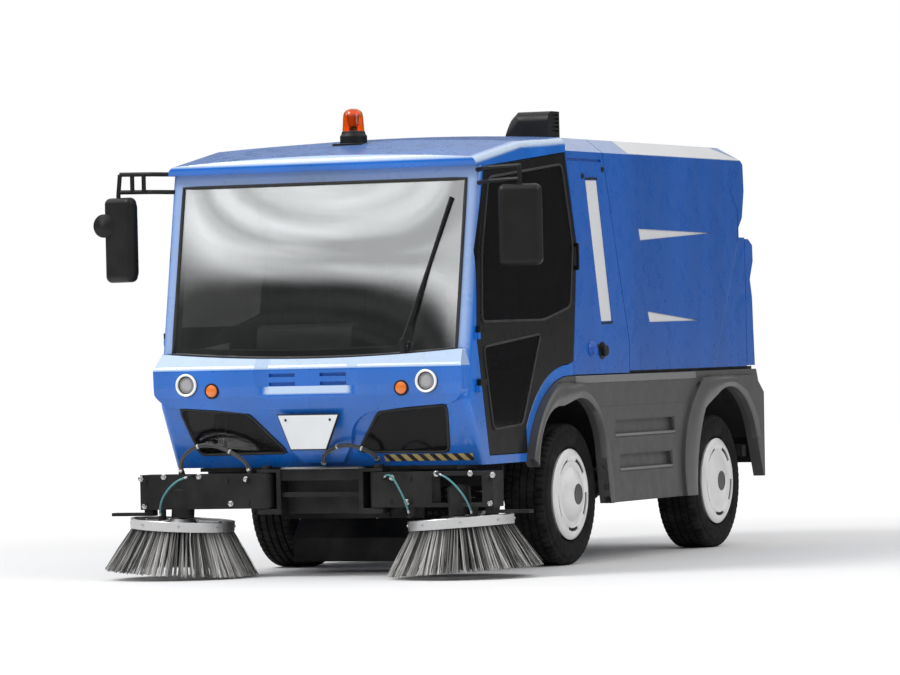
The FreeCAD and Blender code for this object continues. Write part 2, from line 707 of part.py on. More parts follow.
def make_engine_housing():
    gap = 8
    foot = DECK_Z + 2
    rear = [(y - gap, z) for y, z in HOPPER_LINE]
    back_x = HOPPER_FRONT_Y - gap
    profile = [(ROOF_JOINT_Y, CROWN_Z)] + PILLAR_LINE + [(back_x, foot)] + rear
    profile += [(rear[-1][0] - 21, ROOF_TOP_Z), (rear[-1][0] - 25, CROWN_Z)]
    outer = across(profile, -BODY_HALF_WIDTH, BODY_HALF_WIDTH).common(along(body_view(0), -300, HOPPER_FRONT_Y + 100))
    room = CAB_BACK_Y + 2
    top = ROOF_TOP_Z - WALL
    inner = [(room, top), (room, foot + WALL), (back_x - WALL, foot + WALL)]
    inner += [(y - WALL, z) for y, z in rear] + [(rear[-1][0] - 21 - WALL, top)]
    half = CAB_REAR_HALF_WIDTH - WALL
    shell = outer.cut(across(inner, -half, half))
    nest = CAB_REAR_HALF_WIDTH + 12
    shell = shell.cut(across([(-400, ROOF_REAR_Z - 4), (room, ROOF_REAR_Z - 4), (room, foot - 46), (-400, foot - 46)],
                             -nest, nest))
    strip = [
        (CAB_BACK_Y + 97, upper(0.86)),
        (CAB_BACK_Y + 273, upper(0.863)),
        (CAB_BACK_Y + 457, BELT_Z + 120),
        (CAB_BACK_Y + 291, BELT_Z + 117),
    ]
    head_gap = [
        (ROOF_JOINT_Y + 5, ROOF_REAR_Z - 56),
        (rear[-1][0] - 20, ROOF_REAR_Z - 56),
        (rear[-1][0] - 25, ROOF_REAR_Z - 42),
        (ROOF_JOINT_Y + 2, ROOF_REAR_Z - 42),
    ]
    for sign in (-1, 1):
        shell = shell.cut(across_side(strip, sign, BODY_HALF_WIDTH - 9, BODY_HALF_WIDTH + 60))
        shell = shell.cut(across_side(head_gap, sign, BODY_HALF_WIDTH - 12, BODY_HALF_WIDTH + 60))
    filler = turned([(0, -5), (46, -5), (46, 4), (30, 4), (30, 24), (24, 28), (0, 28)],
                    (BODY_HALF_WIDTH, CAB_BACK_Y + 289, BELT_Z - 33), (1, 0, 0))
    NODES["engine_housing"] = fused([shell, filler])
    NODES["engine_block"] = block(-290, 290, CAB_BACK_Y + 90, HOPPER_FRONT_Y - 229, foot + WALL, upper(0.404))


def hopper_profile():
    front_line = [(HOPPER_FRONT_Y, HOPPER_BOTTOM_Z)] + HOPPER_LINE
    rear = HOPPER_REAR_Y
    return front_line + [
        (HOPPER_LINE[-1][0] - 21, ROOF_TOP_Z),
        (HOPPER_LINE[-1][0] - 25, CROWN_Z),
        (rear - 237, CROWN_Z),
        (rear - 74, load(0.96)),
        (rear, load(0.923)),
        (rear + 10, load(0.803)),
        (rear - 28, load(0.681)),
        (rear - 90, load(0.635)),
        (rear - 90, SHELF_Z),
        (rear, SHELF_Z),
        (rear, HOPPER_BOTTOM_Z),
    ]


def hopper_room():
    """Side outline of the load space; it runs out through the discharge mouth at the rear."""
    wall = HOPPER_WALL
    rear = HOPPER_REAR_Y
    return [(HOPPER_FRONT_Y + wall, HOPPER_BOTTOM_Z + wall)] + [(y + wall, z) for y, z in HOPPER_LINE] + [
        (HOPPER_LINE[-1][0] - 8 + wall, ROOF_TOP_Z - wall),
        (HOPPER_LINE[-1][0] - 8 + wall, CROWN_Z - wall),
        (rear - 252, CROWN_Z - wall),
        (rear - 92, load(0.93)),
        (rear - 38, load(0.903)),
        (rear - 28, load(0.803)),
        (rear - 64, load(0.693)),
        (rear - 126, load(0.647)),
        (rear - 126, SHELF_Z - wall),
        (rear + 10, SHELF_Z - wall),
        (rear + 10, HOPPER_BOTTOM_Z + wall),
    ]


def make_hopper():
    behind = HOPPER_REAR_Y + 300
    outer = across(hopper_profile(), -BODY_HALF_WIDTH, BODY_HALF_WIDTH).common(along(body_view(0), 0, behind))
    half = BODY_HALF_WIDTH - HOPPER_WALL
    hollow = across(hopper_room(), -half, half).common(along(body_view(HOPPER_WALL), 0, behind))
    shell = outer.cut(hollow)
    reach = BODY_HALF_WIDTH + 60
    low, high = HOPPER_BOTTOM_Z - 60, CROWN_Z + 60
    sides = []
    for sign in (1, -1):
        panel = shell.common(block(sign * half, sign * reach, 0, behind, low, high))
        for pressing in hopper_pressings():
            panel = panel.cut(across_side(pressing, sign, BODY_HALF_WIDTH - PRESSING_DEPTH, reach))
        panel = panel.cut(across_side(hopper_groove(), sign, BODY_HALF_WIDTH - 4, reach))
        sides.append(panel)
    NODES["hopper_sides"] = Part.makeCompound([max(panel.Solids, key=lambda solid: solid.Volume) for panel in sides])
    core = shell.common(block(-half, half, 0, behind, low, high))
    floor_top = HOPPER_BOTTOM_Z + HOPPER_WALL
    port = rod((0, DUCT_PORT_Y, low), (0, DUCT_PORT_Y, floor_top + 60), DUCT_RADIUS + 6)
    floor = core.common(block(-half, half, 0, behind, low, floor_top)).cut(port)
    NODES["hopper_floor"] = fused([floor] + tip_ears() + rod_lugs())
    wrap = core.common(block(-half, half, 0, behind, floor_top, high))
    NODES["hopper_wrap"] = fused([wrap] + gate_hinge_lugs())


def hopper_pressings():
    """Two long triangles pressed into each side."""
    ahead = HOPPER_FRONT_Y
    return [
        [(ahead + 175, load(0.618)), (ahead + 196, load(0.5665)), (ahead + 1334, load(0.607))],
        [(ahead + 285, load(0.2566)), (ahead + 316, load(0.2087)), (ahead + 1099, load(0.2125))],
    ]


def hopper_groove():
    """Narrow groove down each side near the rear, as a strip."""
    rear = HOPPER_REAR_Y
    line = [
        (rear - 220, load(0.811)),
        (rear - 95, load(0.707)),
        (rear - 106, load(0.567)),
        (rear - 531, HOPPER_BOTTOM_Z - 1),
    ]
    return line + [(y - 9, z) for y, z in reversed(line)]


def tip_ears():
    """Ears under the hopper's rear edge, bored for the tipping pins."""
    y, z = TIP_PIVOT_Y, TIP_PIVOT_Z
    eye = 32
    steps = [
        (HOPPER_REAR_Y - 242, HOPPER_BOTTOM_Z + 1),
        (HOPPER_REAR_Y - 42, HOPPER_BOTTOM_Z + 1),
        (HOPPER_REAR_Y - 42, HOPPER_BOTTOM_Z - 8),
        (y, z + eye),
        (y + eye, z, y, z - eye),
        (HOPPER_REAR_Y - 82, z - eye),
    ]
    ears = []
    for sign in (-1, 1):
        ear = across_side(steps, sign, TIP_PIVOT_X - 20, TIP_PIVOT_X + 20)
        ears.append(ear.cut(pin_across(sign * TIP_PIVOT_X, y, z, 21, TIP_PIN_RADIUS + RUNNING_FIT)))
    return ears


def rod_lugs():
    """Two lugs each side of either cylinder's rod eye."""
    steps = [
        (ROD_EYE_Y - 60, HOPPER_BOTTOM_Z + 1),
        (ROD_EYE_Y - 34, ROD_EYE_Z),
        (ROD_EYE_Y, ROD_EYE_Z - 34, ROD_EYE_Y + 34, ROD_EYE_Z),
        (ROD_EYE_Y + 60, HOPPER_BOTTOM_Z + 1),
    ]
    lugs = []
    for sign in (-1, 1):
        for offset in (-46, 34):
            low = sign * CYLINDER_X + offset
            lugs.append(across(steps, low, low + 12))
    return lugs


def gate_hinge_lugs():
    """Lugs and pins on the hopper's shelf that carry the tailgate."""
    y, z = GATE_PIVOT_Y, GATE_PIVOT_Z
    steps = [
        (y - 80, SHELF_Z - 1),
        (y - 15, z + 10),
        (y + 18, z + 10, y, z - 18),
        (y, SHELF_Z - 1),
    ]
    pieces = []
    for x in (-GATE_HINGE_X, GATE_HINGE_X):
        pieces.append(pin_across(x, y, z, 60, GATE_PIN_RADIUS))
        for offset in (-60, 42):
            pieces.append(across(steps, x + offset, x + offset + 18))
    return pieces


def make_tailgate():
    y0 = HOPPER_REAR_Y + GATE_GAP
    rear = HOPPER_REAR_Y + GATE_DEPTH
    head, foot = gate(1), gate(0)
    profile = [
        (y0, head),
        (rear - 70, head - 2),
        (rear - 5, gate(0.951)),
        (rear, gate(0.827)),
        (rear - 56, gate(0.682)),
        (rear - 25, gate(0.536)),
        (rear - 16, gate(0.299)),
        (rear - 2, foot),
        (y0, foot),
    ]
    outer = across(profile, -BODY_HALF_WIDTH, BODY_HALF_WIDTH)
    inner = [
        (y0 - 5, head - WALL),
        (rear - 82, head - WALL),
        (rear - 43, gate(0.90)),
        (rear - 41, gate(0.835)),
        (rear - 95, gate(0.682)),
        (rear - 63, gate(0.536)),
        (rear - 55, gate(0.299)),
        (rear - 41, foot + WALL),
        (y0 - 5, foot + WALL),
    ]
    pieces = [outer.cut(across(inner, -BODY_HALF_WIDTH + WALL, BODY_HALF_WIDTH - WALL))]
    y, z = GATE_PIVOT_Y, GATE_PIVOT_Z
    steps = [(y0 + 2, head - 1), (y - 20, z), (y, z + 20, y + 20, z), (y0 + 50, head - 2)]
    for x in (-GATE_HINGE_X, GATE_HINGE_X):
        pieces.append(across(steps, x - 34, x + 34).cut(pin_across(x, y, z, 50, GATE_PIN_RADIUS + RUNNING_FIT)))
    for x in (-BODY_HALF_WIDTH * 0.45, 0, BODY_HALF_WIDTH * 0.45):
        rib = [
            (rear - 30, gate(0.48)),
            (rear - 5, gate(0.46)),
            (rear, gate(0.08)),
            (rear - 30, gate(0.06)),
        ]
        pieces.append(across(rib, x - 30, x + 30))
    NODES["tailgate"] = fused(pieces)


def rear_wheel_point(dy, dz):
    """Place given from the rear wheel's centre, as Y and Z."""
    return WHEELBASE + dy, TYRE_RADIUS + dz


def make_skirts():
    edge = ARCH_RADIUS - SKIN_GAP
    bottom = SKIRT_BOTTOM_Z
    lip_start = arch_point(ARCH_RADIUS - 80, 167)
    lip = [
        (392, bottom),
        (380, TYRE_RADIUS - 7),
        arch_point(ARCH_RADIUS - 137, 17.4),
        arch_point(ARCH_RADIUS - 94, 53.5) + arch_point(ARCH_RADIUS - 131, 87),
        arch_point(ARCH_RADIUS - 139, 109),
        arch_point(ARCH_RADIUS - 61, 140) + lip_start,
    ]
    rear_lip = [
        rear_wheel_point(568, 10),
        rear_wheel_point(471, 238),
        rear_wheel_point(250, 500) + rear_wheel_point(-91, 537),
        rear_wheel_point(-360, 440),
        rear_wheel_point(-495, 170) + (WHEELBASE - 518, bottom),
    ]
    rear_end = [(SKIRT_REAR_Y + 38, SKIRT_TOP_Z - 140), (SKIRT_REAR_Y + 30, TYRE_RADIUS + 10)]
    crown = [lip_start, arch_point(edge, 164), arch_arc(edge, 164, 90)]
    crown += [(SKIRT_REAR_Y - 20, SKIRT_TOP_Z), (SKIRT_REAR_Y, SKIRT_TOP_Z - 40)]
    plate = crown + rear_end + rear_lip + lip
    front_flare = [lip_start, arch_point(edge, 164), arch_arc(edge, 164, 112)]
    front_flare += [(-210, DECK_Z - 40, -90, DECK_Z - 48), (150, DECK_Z - 84, 300, DECK_Z - 284)]
    front_flare += [(400, DECK_Z - 464, 440, bottom)] + lip
    rear_flare = [
        (WHEELBASE - 680, bottom),
        rear_wheel_point(-670, 310) + rear_wheel_point(-480, 540),
        (WHEELBASE - 390, SKIRT_TOP_Z - 40),
        (WHEELBASE - 244, SKIRT_TOP_Z - 33),
        (SKIRT_REAR_Y - 100, SKIRT_TOP_Z - 37),
    ] + rear_end + rear_lip
    pieces = [across(plate, SKIRT_HALF_WIDTH - SKIRT_THICKNESS, SKIRT_HALF_WIDTH)]
    for flare in (front_flare, rear_flare):
        pieces.append(across(flare, SKIRT_HALF_WIDTH - 2, FLARE_HALF_WIDTH))
    skirt = fused(pieces)
    for z0, y0, y1 in ((DECK_Z - 341, 526, WHEELBASE - 815), (DECK_Z - 534, 585, WHEELBASE - 862)):
        slot = [(y0, z0), (y0 + 14, z0 + 80), (y1 - 14, z0 + 80), (y1, z0)]
        skirt = skirt.cut(across(slot, SKIRT_HALF_WIDTH - 26, FLARE_HALF_WIDTH + 30))
    NODES["side_skirts"] = both_sides(skirt)


def arch_liner(centre, radius, start, end, sign):
    """Thin curved sheet over one wheel, between two angles and from the rail's side to the skirt."""
    def at(r, angle):
        a = math.radians(angle)
        return centre[0] + r * math.cos(a), centre[1] + r * math.sin(a)

    middle_angle = (start + end) / 2
    inner = radius - LINER_THICKNESS
    steps = [
        at(radius, start),
        at(radius, middle_angle) + at(radius, end),
        at(inner, end),
        at(inner, middle_angle) + at(inner, start),
    ]
    return across_side(steps, sign, LINER_INNER_X, SKIRT_HALF_WIDTH - SKIRT_THICKNESS)


def make_liners():
    front_centre, rear_centre = (ARCH_CENTRE_Y, ARCH_CENTRE_Z), (WHEELBASE, TYRE_RADIUS)
    sheets = []
    for sign in (-1, 1):
        sheets.append(arch_liner(front_centre, ARCH_RADIUS - 11, 12, 150, sign))
        sheets.append(arch_liner(rear_centre, REAR_LINER_RADIUS, 25, 155, sign))
    NODES["arch_liners"] = Part.makeCompound(sheets)


def rail_section(x, y0, y1):
    """Channel rail, open towards the middle of the vehicle."""
    half = RAIL_WIDTH / 2
    sign = 1 if x > 0 else -1
    inner, outer = x - sign * half, x + sign * half
    solid = block(inner, outer, y0, y1, RAIL_BOTTOM_Z, FLOOR_Z)
    room = block(inner - sign, outer - sign * RAIL_PLATE, y0 - 1, y1 + 1, RAIL_BOTTOM_Z + RAIL_PLATE, FLOOR_Z - RAIL_PLATE)
    return solid.cut(room)


def cross_beam(y):
    """Cross member between the rails' webs, on their bottom flanges."""
    reach = RAIL_X + RAIL_WIDTH / 2 - RAIL_PLATE
    low = RAIL_BOTTOM_Z + RAIL_PLATE
    return block(-reach, reach, y - CROSS_HALF_LENGTH, y + CROSS_HALF_LENGTH, low, low + CROSS_HEIGHT)


def barrel_lugs():
    """Lugs and pins on a cross member that carry the tipping cylinders' barrels."""
    y, z = BARREL_PIVOT_Y, BARREL_PIVOT_Z
    foot = RAIL_BOTTOM_Z + RAIL_PLATE + 5
    steps = [(y - 30, foot), (y - 30, z), (y, z + 30, y + 30, z), (y + 30, foot)]
    pieces = []
    for sign in (-1, 1):
        for offset in (-58, 46):
            low = sign * CYLINDER_X + offset
            pieces.append(across(steps, low, low + 12))
        pieces.append(pin_across(sign * CYLINDER_X, y, z, 58, BARREL_PIN))
    return pieces


def make_frame():
    NODES["frame_rails"] = Part.makeCompound([rail_section(s * RAIL_X, RAIL_FRONT_Y, RAIL_REAR_Y) for s in (-1, 1)])
    members = [cross_beam(RAIL_FRONT_Y + 40), cross_beam(WHEELBASE - 240)]
    members.append(fused([cross_beam(BARREL_PIVOT_Y)] + barrel_lugs()))
    reach = RAIL_X + RAIL_WIDTH / 2 - RAIL_PLATE
    clear = RAIL_PLATE
    collar_y = CAB_BACK_Y + 370
    collar = block(-reach, reach, collar_y - 20, collar_y + 20, RAIL_BOTTOM_Z + clear, FLOOR_Z - clear)
    ring = rod((0, collar_y - 20, DUCT_Z), (0, collar_y + 20, DUCT_Z), DUCT_RADIUS + 28)
    hole = rod((0, collar_y - 60, DUCT_Z), (0, collar_y + 60, DUCT_Z), DUCT_RADIUS + SEAT_GAP)
    members.append(fused([collar, ring]).cut(hole))
    inner = RAIL_X + RAIL_WIDTH / 2
    outer = SKIRT_HALF_WIDTH - SKIRT_THICKNESS
    for sign in (-1, 1):
        for y in (560, BARREL_PIVOT_Y + 300, RAIL_REAR_Y - CROSS_HALF_LENGTH):
            members.append(block(sign * inner, sign * outer, y - 30, y + 30, FLOOR_Z - 70, FLOOR_Z))
    NODES["frame_crossmembers"] = Part.makeCompound(members)
    NODES["body_subframe"] = Part.makeCompound([subframe_side(s * RAIL_X) for s in (-1, 1)])
    NODES["rear_bracket"] = rear_bracket()


def subframe_side(x):
    """Beam under the housing and the hopper, on posts from the rail, with the hopper's rest pads."""
    half = RAIL_WIDTH / 2
    deck = DECK_Z + 2
    start, end = CAB_BACK_Y + 70, TIP_PIVOT_Y - 400
    pieces = [block(x - half, x + half, start, end, deck - SUBFRAME_HEIGHT, deck)]
    for y in (start + POST_HALF_LENGTH, HOPPER_FRONT_Y + 151, end - POST_HALF_LENGTH):
        pieces.append(block(x - half, x + half, y - POST_HALF_LENGTH, y + POST_HALF_LENGTH, FLOOR_Z, deck - 1))
    for y in (HOPPER_FRONT_Y + 111, end - 60):
        pieces.append(block(x - half, x + half, y - 40, y + 40, deck - 1, HOPPER_BOTTOM_Z - SEAT_GAP))
    return fused(pieces)


def rear_bracket():
    """Tail beam between the rail ends, the plates of the tipping pivots and the towing eye."""
    front_y = RAIL_REAR_Y
    z, pivot = TIP_PIVOT_Z, TIP_PIVOT_Y
    half = TIP_PIVOT_X + 43
    pieces = [block(-half, half, front_y, front_y + TAIL_BEAM, RAIL_BOTTOM_Z, FLOOR_Z)]
    steps = [
        (front_y, FLOOR_Z - 10),
        (front_y, z - 120),
        (pivot - 30, z),
        (pivot, z + 28, pivot + 30, z),
        (pivot + 30, RAIL_BOTTOM_Z),
        (front_y, RAIL_BOTTOM_Z),
    ]
    for sign in (-1, 1):
        x = sign * TIP_PIVOT_X
        for offset in (-43, 25):
            pieces.append(across(steps, x + offset, x + offset + TIP_PLATE))
        pieces.append(pin_across(x, pivot, z, 40, TIP_PIN_RADIUS))
    eye_y, eye_z = TOW_EYE_Y, TOW_EYE_Z
    half_plate = TOW_PLATE / 2
    tongue = block(-45, 45, front_y + 10, eye_y, eye_z - half_plate, eye_z + half_plate)
    nose = rod((0, eye_y, eye_z - half_plate), (0, eye_y, eye_z + half_plate), 45)
    neck = block(-45, 45, front_y + 10, front_y + 40, eye_z - half_plate, RAIL_BOTTOM_Z + 1)
    bore = rod((0, eye_y, eye_z - 60), (0, eye_y, eye_z + half_plate + 10), TOW_EYE_RADIUS)
    pieces.append(fused([tongue, nose, neck]).cut(bore))
    return fused(pieces)


def make_bumper():
    front_y = TIP_PIVOT_Y + 30
    low, high = RAIL_BOTTOM_Z + 2, FLOOR_Z + 50
    half = BODY_HALF_WIDTH - 50
    bumper = block(-half, half, front_y, BUMPER_REAR_Y, low, high)
    lamps = []
    for sign in (-1, 1):
        x = sign * (half - 110)
        recess = block(x - 90, x + 90, BUMPER_REAR_Y - 12, BUMPER_REAR_Y + 5, low + 40, high - 40)
        bumper = bumper.cut(recess)
        lamps.append(block(x - 89, x + 89, BUMPER_REAR_Y - 12, BUMPER_REAR_Y + LAMP_PROUD, low + 41, high - 41))
    NODES["rear_bumper"] = bumper
    NODES["rear_lamps"] = Part.makeCompound(lamps)


def make_leaf_spring(axle_y, seat_z, ends_z):
    """Pack of leaves from its seat on the axle up to an eye and a hanger at each end."""
    half = SPRING_HALF_LENGTH
    x0, x1 = RAIL_X - SPRING_WIDTH / 2, RAIL_X + SPRING_WIDTH / 2
    main_z = seat_z + (SPRING_LEAVES - 1) * SPRING_LEAF
    rise = ends_z - main_z
    pieces = []
    for index in range(SPRING_LEAVES):
        length = half * (1 - 0.28 * index)
        low = main_z - index * SPRING_LEAF
        end = low + rise * (length / half) ** 2
        y0, y1 = axle_y - length, axle_y + length
        top = SPRING_LEAF + 0.2
        pieces.append(across([(y0, end), (axle_y, low, y1, end), (y1, end + top), (axle_y, low + top, y0, end + top)], x0, x1))
    for sign in (-1, 1):
        y = axle_y + sign * (half + 4)
        z = ends_z + SPRING_LEAF / 2
        pieces.append(rod((x0, y, z), (x1, y, z), SPRING_EYE))
        for edge in (x0 - 8, x1):
            pieces.append(block(edge, edge + 8, y - 18, y + 18, z - SPRING_EYE, RAIL_BOTTOM_Z))
        pieces.append(rod((x0 - 8, y, z), (x1 + 8, y, z), 6))
    return fused(pieces)


def make_axles():
    k, z = KINGPIN_X, TYRE_RADIUS
    drop = AXLE_DROP
    bend_x, flat_x = RAIL_X + 105, RAIL_X + 55
    beam = [
        (-k, z + 34), (-bend_x, z + 34), (-flat_x, z - drop + 34), (flat_x, z - drop + 34), (bend_x, z + 34), (k, z + 34),
        (k, z - 34), (bend_x - 10, z - 34), (flat_x - 14, z - drop - 34),
        (-flat_x + 14, z - drop - 34), (-bend_x + 10, z - 34), (-k, z - 34),
    ]
    pieces = [along(beam, -30, 30)]
    reach = FIST_HEIGHT / 2 + KNUCKLE_EAR + 8
    seat = z - drop + 34
    half_seat = SPRING_WIDTH / 2 + 6
    for sign in (-1, 1):
        x = sign * k
        pieces.append(rod((x, 0, z - FIST_HEIGHT / 2), (x, 0, z + FIST_HEIGHT / 2), FIST_RADIUS))
        pieces.append(rod((x, 0, z - reach), (x, 0, z + reach), KINGPIN_RADIUS))
        x = sign * RAIL_X
        pieces.append(block(x - half_seat, x + half_seat, -62, 62, seat - 12, seat + 6))
    NODES["front_axle"] = fused(pieces)
    y = WHEELBASE
    tip = WHEEL_CENTRE_X + 50
    tube = WHEEL_CENTRE_X - 75
    pieces = [rod((-tube, y, z), (tube, y, z), AXLE_RADIUS)]
    pieces.append(rod((-tip, y, z), (tip, y, z), SPINDLE_RADIUS))
    pumpkin = [(0, -160), (60, -160), (128, -70), (140, 0, 128, 70), (60, 160), (0, 160)]
    pieces.append(turned(pumpkin, (0, y, z), (1, 0, 0)))
    for sign in (-1, 1):
        x = sign * RAIL_X
        pieces.append(block(x - half_seat, x + half_seat, y - 62, y + 62, z - 20, z + AXLE_RADIUS))
    NODES["rear_axle"] = fused(pieces)
    eye_z = RAIL_BOTTOM_Z - SPRING_EYE - SPRING_LEAF / 2 - 3
    springs = []
    for axle_y, seat_z in ((0, seat + 6), (y, z + AXLE_RADIUS)):
        spring = make_leaf_spring(axle_y, seat_z, eye_z)
        springs += [spring, mirrored(spring)]
    NODES["leaf_springs"] = Part.makeCompound(springs)


def make_knuckle():
    """Left front knuckle: two ears round the kingpin, a yoke and the wheel's spindle."""
    x, z = KINGPIN_X, TYRE_RADIUS
    inner = FIST_HEIGHT / 2 + 2
    outer = inner + KNUCKLE_EAR
    yoke = x + FIST_RADIUS + 40
    pieces = []
    for low, high in ((z - outer, z - inner), (z + inner, z + outer)):
        pieces.append(rod((x, 0, low), (x, 0, high), 40))
        pieces.append(block(x, yoke, -34, 34, low, high))
    pieces.append(block(x + FIST_RADIUS + 8, yoke, -48, 48, z - outer, z + outer))
    body = fused(pieces)
    body = body.cut(rod((x, 0, z - 200), (x, 0, z + 200), KINGPIN_RADIUS + RUNNING_FIT))
    return fused([body, rod((x + FIST_RADIUS + 18, 0, z), (WHEEL_CENTRE_X + 50, 0, z), SPINDLE_RADIUS)])


def make_tyre(y):
    w, r, bead = TYRE_HALF_WIDTH, TYRE_RADIUS, BEAD_RADIUS
    wall = bead + (r - bead) / 2
    profile = [
        (bead, -BEAD_HALF_WIDTH),
        (bead + 22, -BEAD_HALF_WIDTH - 6),
        (wall, -w - 4, r - 24, -w + 6),
        (r - 5, -w + 16, r, -w + 34),
        (r, w - 34),
        (r - 5, w - 16, r - 24, w - 6),
        (wall, w + 4, bead + 22, BEAD_HALF_WIDTH + 6),
        (bead, BEAD_HALF_WIDTH),
    ]
    return turned(profile, (WHEEL_CENTRE_X, y, r), (1, 0, 0))


def make_rim(y, dome):
    seat = BEAD_RADIUS - SEAT_GAP
    cover = TYRE_HALF_WIDTH
    flange = BEAD_HALF_WIDTH + 8
    bore = SPINDLE_RADIUS + RUNNING_FIT
    well = seat - 14
    profile = [
        (bore, -58),
        (HUB_RADIUS, -58),
        (HUB_RADIUS, 38),
        (well, 38),
        (well, -BEAD_HALF_WIDTH + 4),
        (well, -flange),
        (seat + 14, -flange - 6),
        (seat + 14, -flange),
        (seat, -BEAD_HALF_WIDTH - 4),
        (seat, cover - 20),
        (COVER_RADIUS - 4, cover - 16),
        (COVER_RADIUS, cover - 2),
        (COVER_RADIUS - 26, cover + COVER_PROUD, COVER_RADIUS - 72, cover + 4),
        (2 * HUB_RADIUS + 2, cover + 8),
        (HUB_RADIUS + 18, cover + 0.86 * dome, HUB_RADIUS - 12, cover + dome),
        (0, cover + dome),
        (0, 54),
        (bore, 54),
    ]
    rim = turned(profile, (0, 0, 0), (0, 0, 1))
    room = [
        (HUB_RADIUS + 6, 50),
        (well, 50),
        (well, cover - 12),
        (COVER_RADIUS - 70, cover - 6),
        (2 * HUB_RADIUS + 2, cover - 2),
        (HUB_RADIUS + 6, cover + 6),
    ]
    rim = rim.cut(turned(room, (0, 0, 0), (0, 0, 1)))
    for index in range(COVER_SLOTS):
        slot = turned_sector(COVER_RADIUS - 64, COVER_RADIUS - 46, 19, cover - 16, cover + 30)
        slot.rotate(V(0, 0, 0), V(0, 0, 1), index * 360 / COVER_SLOTS)
        rim = rim.cut(slot)
    turn = FreeCAD.Rotation(V(0, 0, 1), V(1, 0, 0))
    rim.Placement = FreeCAD.Placement(V(WHEEL_CENTRE_X, y, TYRE_RADIUS), turn).multiply(rim.Placement)
    return rim


def make_wheels():
    for place, y, dome in (("front", 0, FRONT_DOME), ("rear", WHEELBASE, REAR_DOME)):
        tyre = make_tyre(y)
        rim = make_rim(y, dome)
        NODES["tyre_%s_left" % place] = tyre
        NODES["tyre_%s_right" % place] = mirrored(tyre)
        NODES["rim_%s_left" % place] = rim
        NODES["rim_%s_right" % place] = mirrored(rim)
    knuckle = make_knuckle()
    NODES["knuckle_left"] = knuckle
    NODES["knuckle_right"] = mirrored(knuckle)


# Cab interior
SEAT_X = 415.0
SEAT_HALF_WIDTH = 235.0
SEAT_FLOOR_Z = DECK_Z + WALL
CUSHION_Z = SEAT_FLOOR_Z + 66
COLUMN_RADIUS = 28.0
STEERING_RADIUS = 205.0


def make_seats():
    back_y = CAB_BACK_Y - WALL - 14
    bases, cushions = [], []
    for x in (-SEAT_X, SEAT_X):
        w = SEAT_HALF_WIDTH
        bases.append(fused([
            block(x - w + 45, x + w - 45, ARCH_CENTRE_Y - 60, back_y - 20, SEAT_FLOOR_Z, CUSHION_Z - 11),
            block(x - w + 10, x + w - 10, back_y - 430, back_y - 8, CUSHION_Z - 12, CUSHION_Z),
        ]))
        top = CUSHION_Z + SEAT_GAP
        cushion = [
            (back_y - 120, top), (back_y - 120, top + 112, 20), (back_y - 400, top + 122, 60),
            (back_y - 470, top + 96, 40), (back_y - 462, top, 30),
        ]
        cushions.append(across(cushion, x - w, x + w))
        back = [
            (back_y - 8, top), (back_y, top + 590, 30), (back_y - 70, top + 596, 26), (back_y - 118, top + 120, 50),
            (back_y - 118, top),
        ]
        cushions.append(across(back, x - w + 15, x + w - 15))
    NODES["seat_bases"] = Part.makeCompound(bases)
    NODES["seat_cushions"] = Part.makeCompound(cushions)


def make_dashboard():
    nose = CAB_NOSE_Y
    half = CAB_FRONT_HALF_WIDTH - WALL - 10
    shelf = [
        (nose + 115, lower(0.655)), (nose + 95, BELT_Z - 33), (nose + 245, BELT_Z + 22, 30), (nose + 425, BELT_Z - 18, 40),
        (nose + 415, BELT_Z - 128, 30), (nose + 225, lower(0.655)),
    ]
    binnacle = [
        (nose + 225, BELT_Z), (nose + 245, BELT_Z + 128, 30), (nose + 330, BELT_Z + 150, 24),
        (nose + 420, BELT_Z + 60, 20), (nose + 424, BELT_Z - 20),
    ]
    pieces = [across(shelf, -half, half), across(binnacle, -wide(0.47), wide(0.15))]
    pieces.append(block(-150, 150, nose + 245, nose + 415, FLOOR_Z + WALL, BELT_Z - 40))
    foot, head = (SEAT_X, nose + 340, BELT_Z - 60), (SEAT_X, nose + 640, BELT_Z + 280)
    NODES["dashboard"] = fused(pieces).cut(rod(foot, head, COLUMN_RADIUS + SEAT_GAP))
    wheel = Part.makeTorus(STEERING_RADIUS, 16, V(0, 0, 0), V(0, 0, 1))
    spokes = [
        block(-STEERING_RADIUS, STEERING_RADIUS, -18, 18, -8, 8),
        block(-18, 18, -STEERING_RADIUS, 0, -8, 8),
        rod((0, 0, -20), (0, 0, 14), 50),
    ]
    wheel = fused([wheel] + spokes)
    run = V(*head) - V(*foot)
    wheel.Placement = FreeCAD.Placement(V(*head), FreeCAD.Rotation(V(0, 0, 1), run))
    NODES["steering_wheel"] = fused([rod(foot, head, COLUMN_RADIUS), wheel])


BEACON_X = -27.0
BEACON_Y = CAB_NOSE_Y + 675


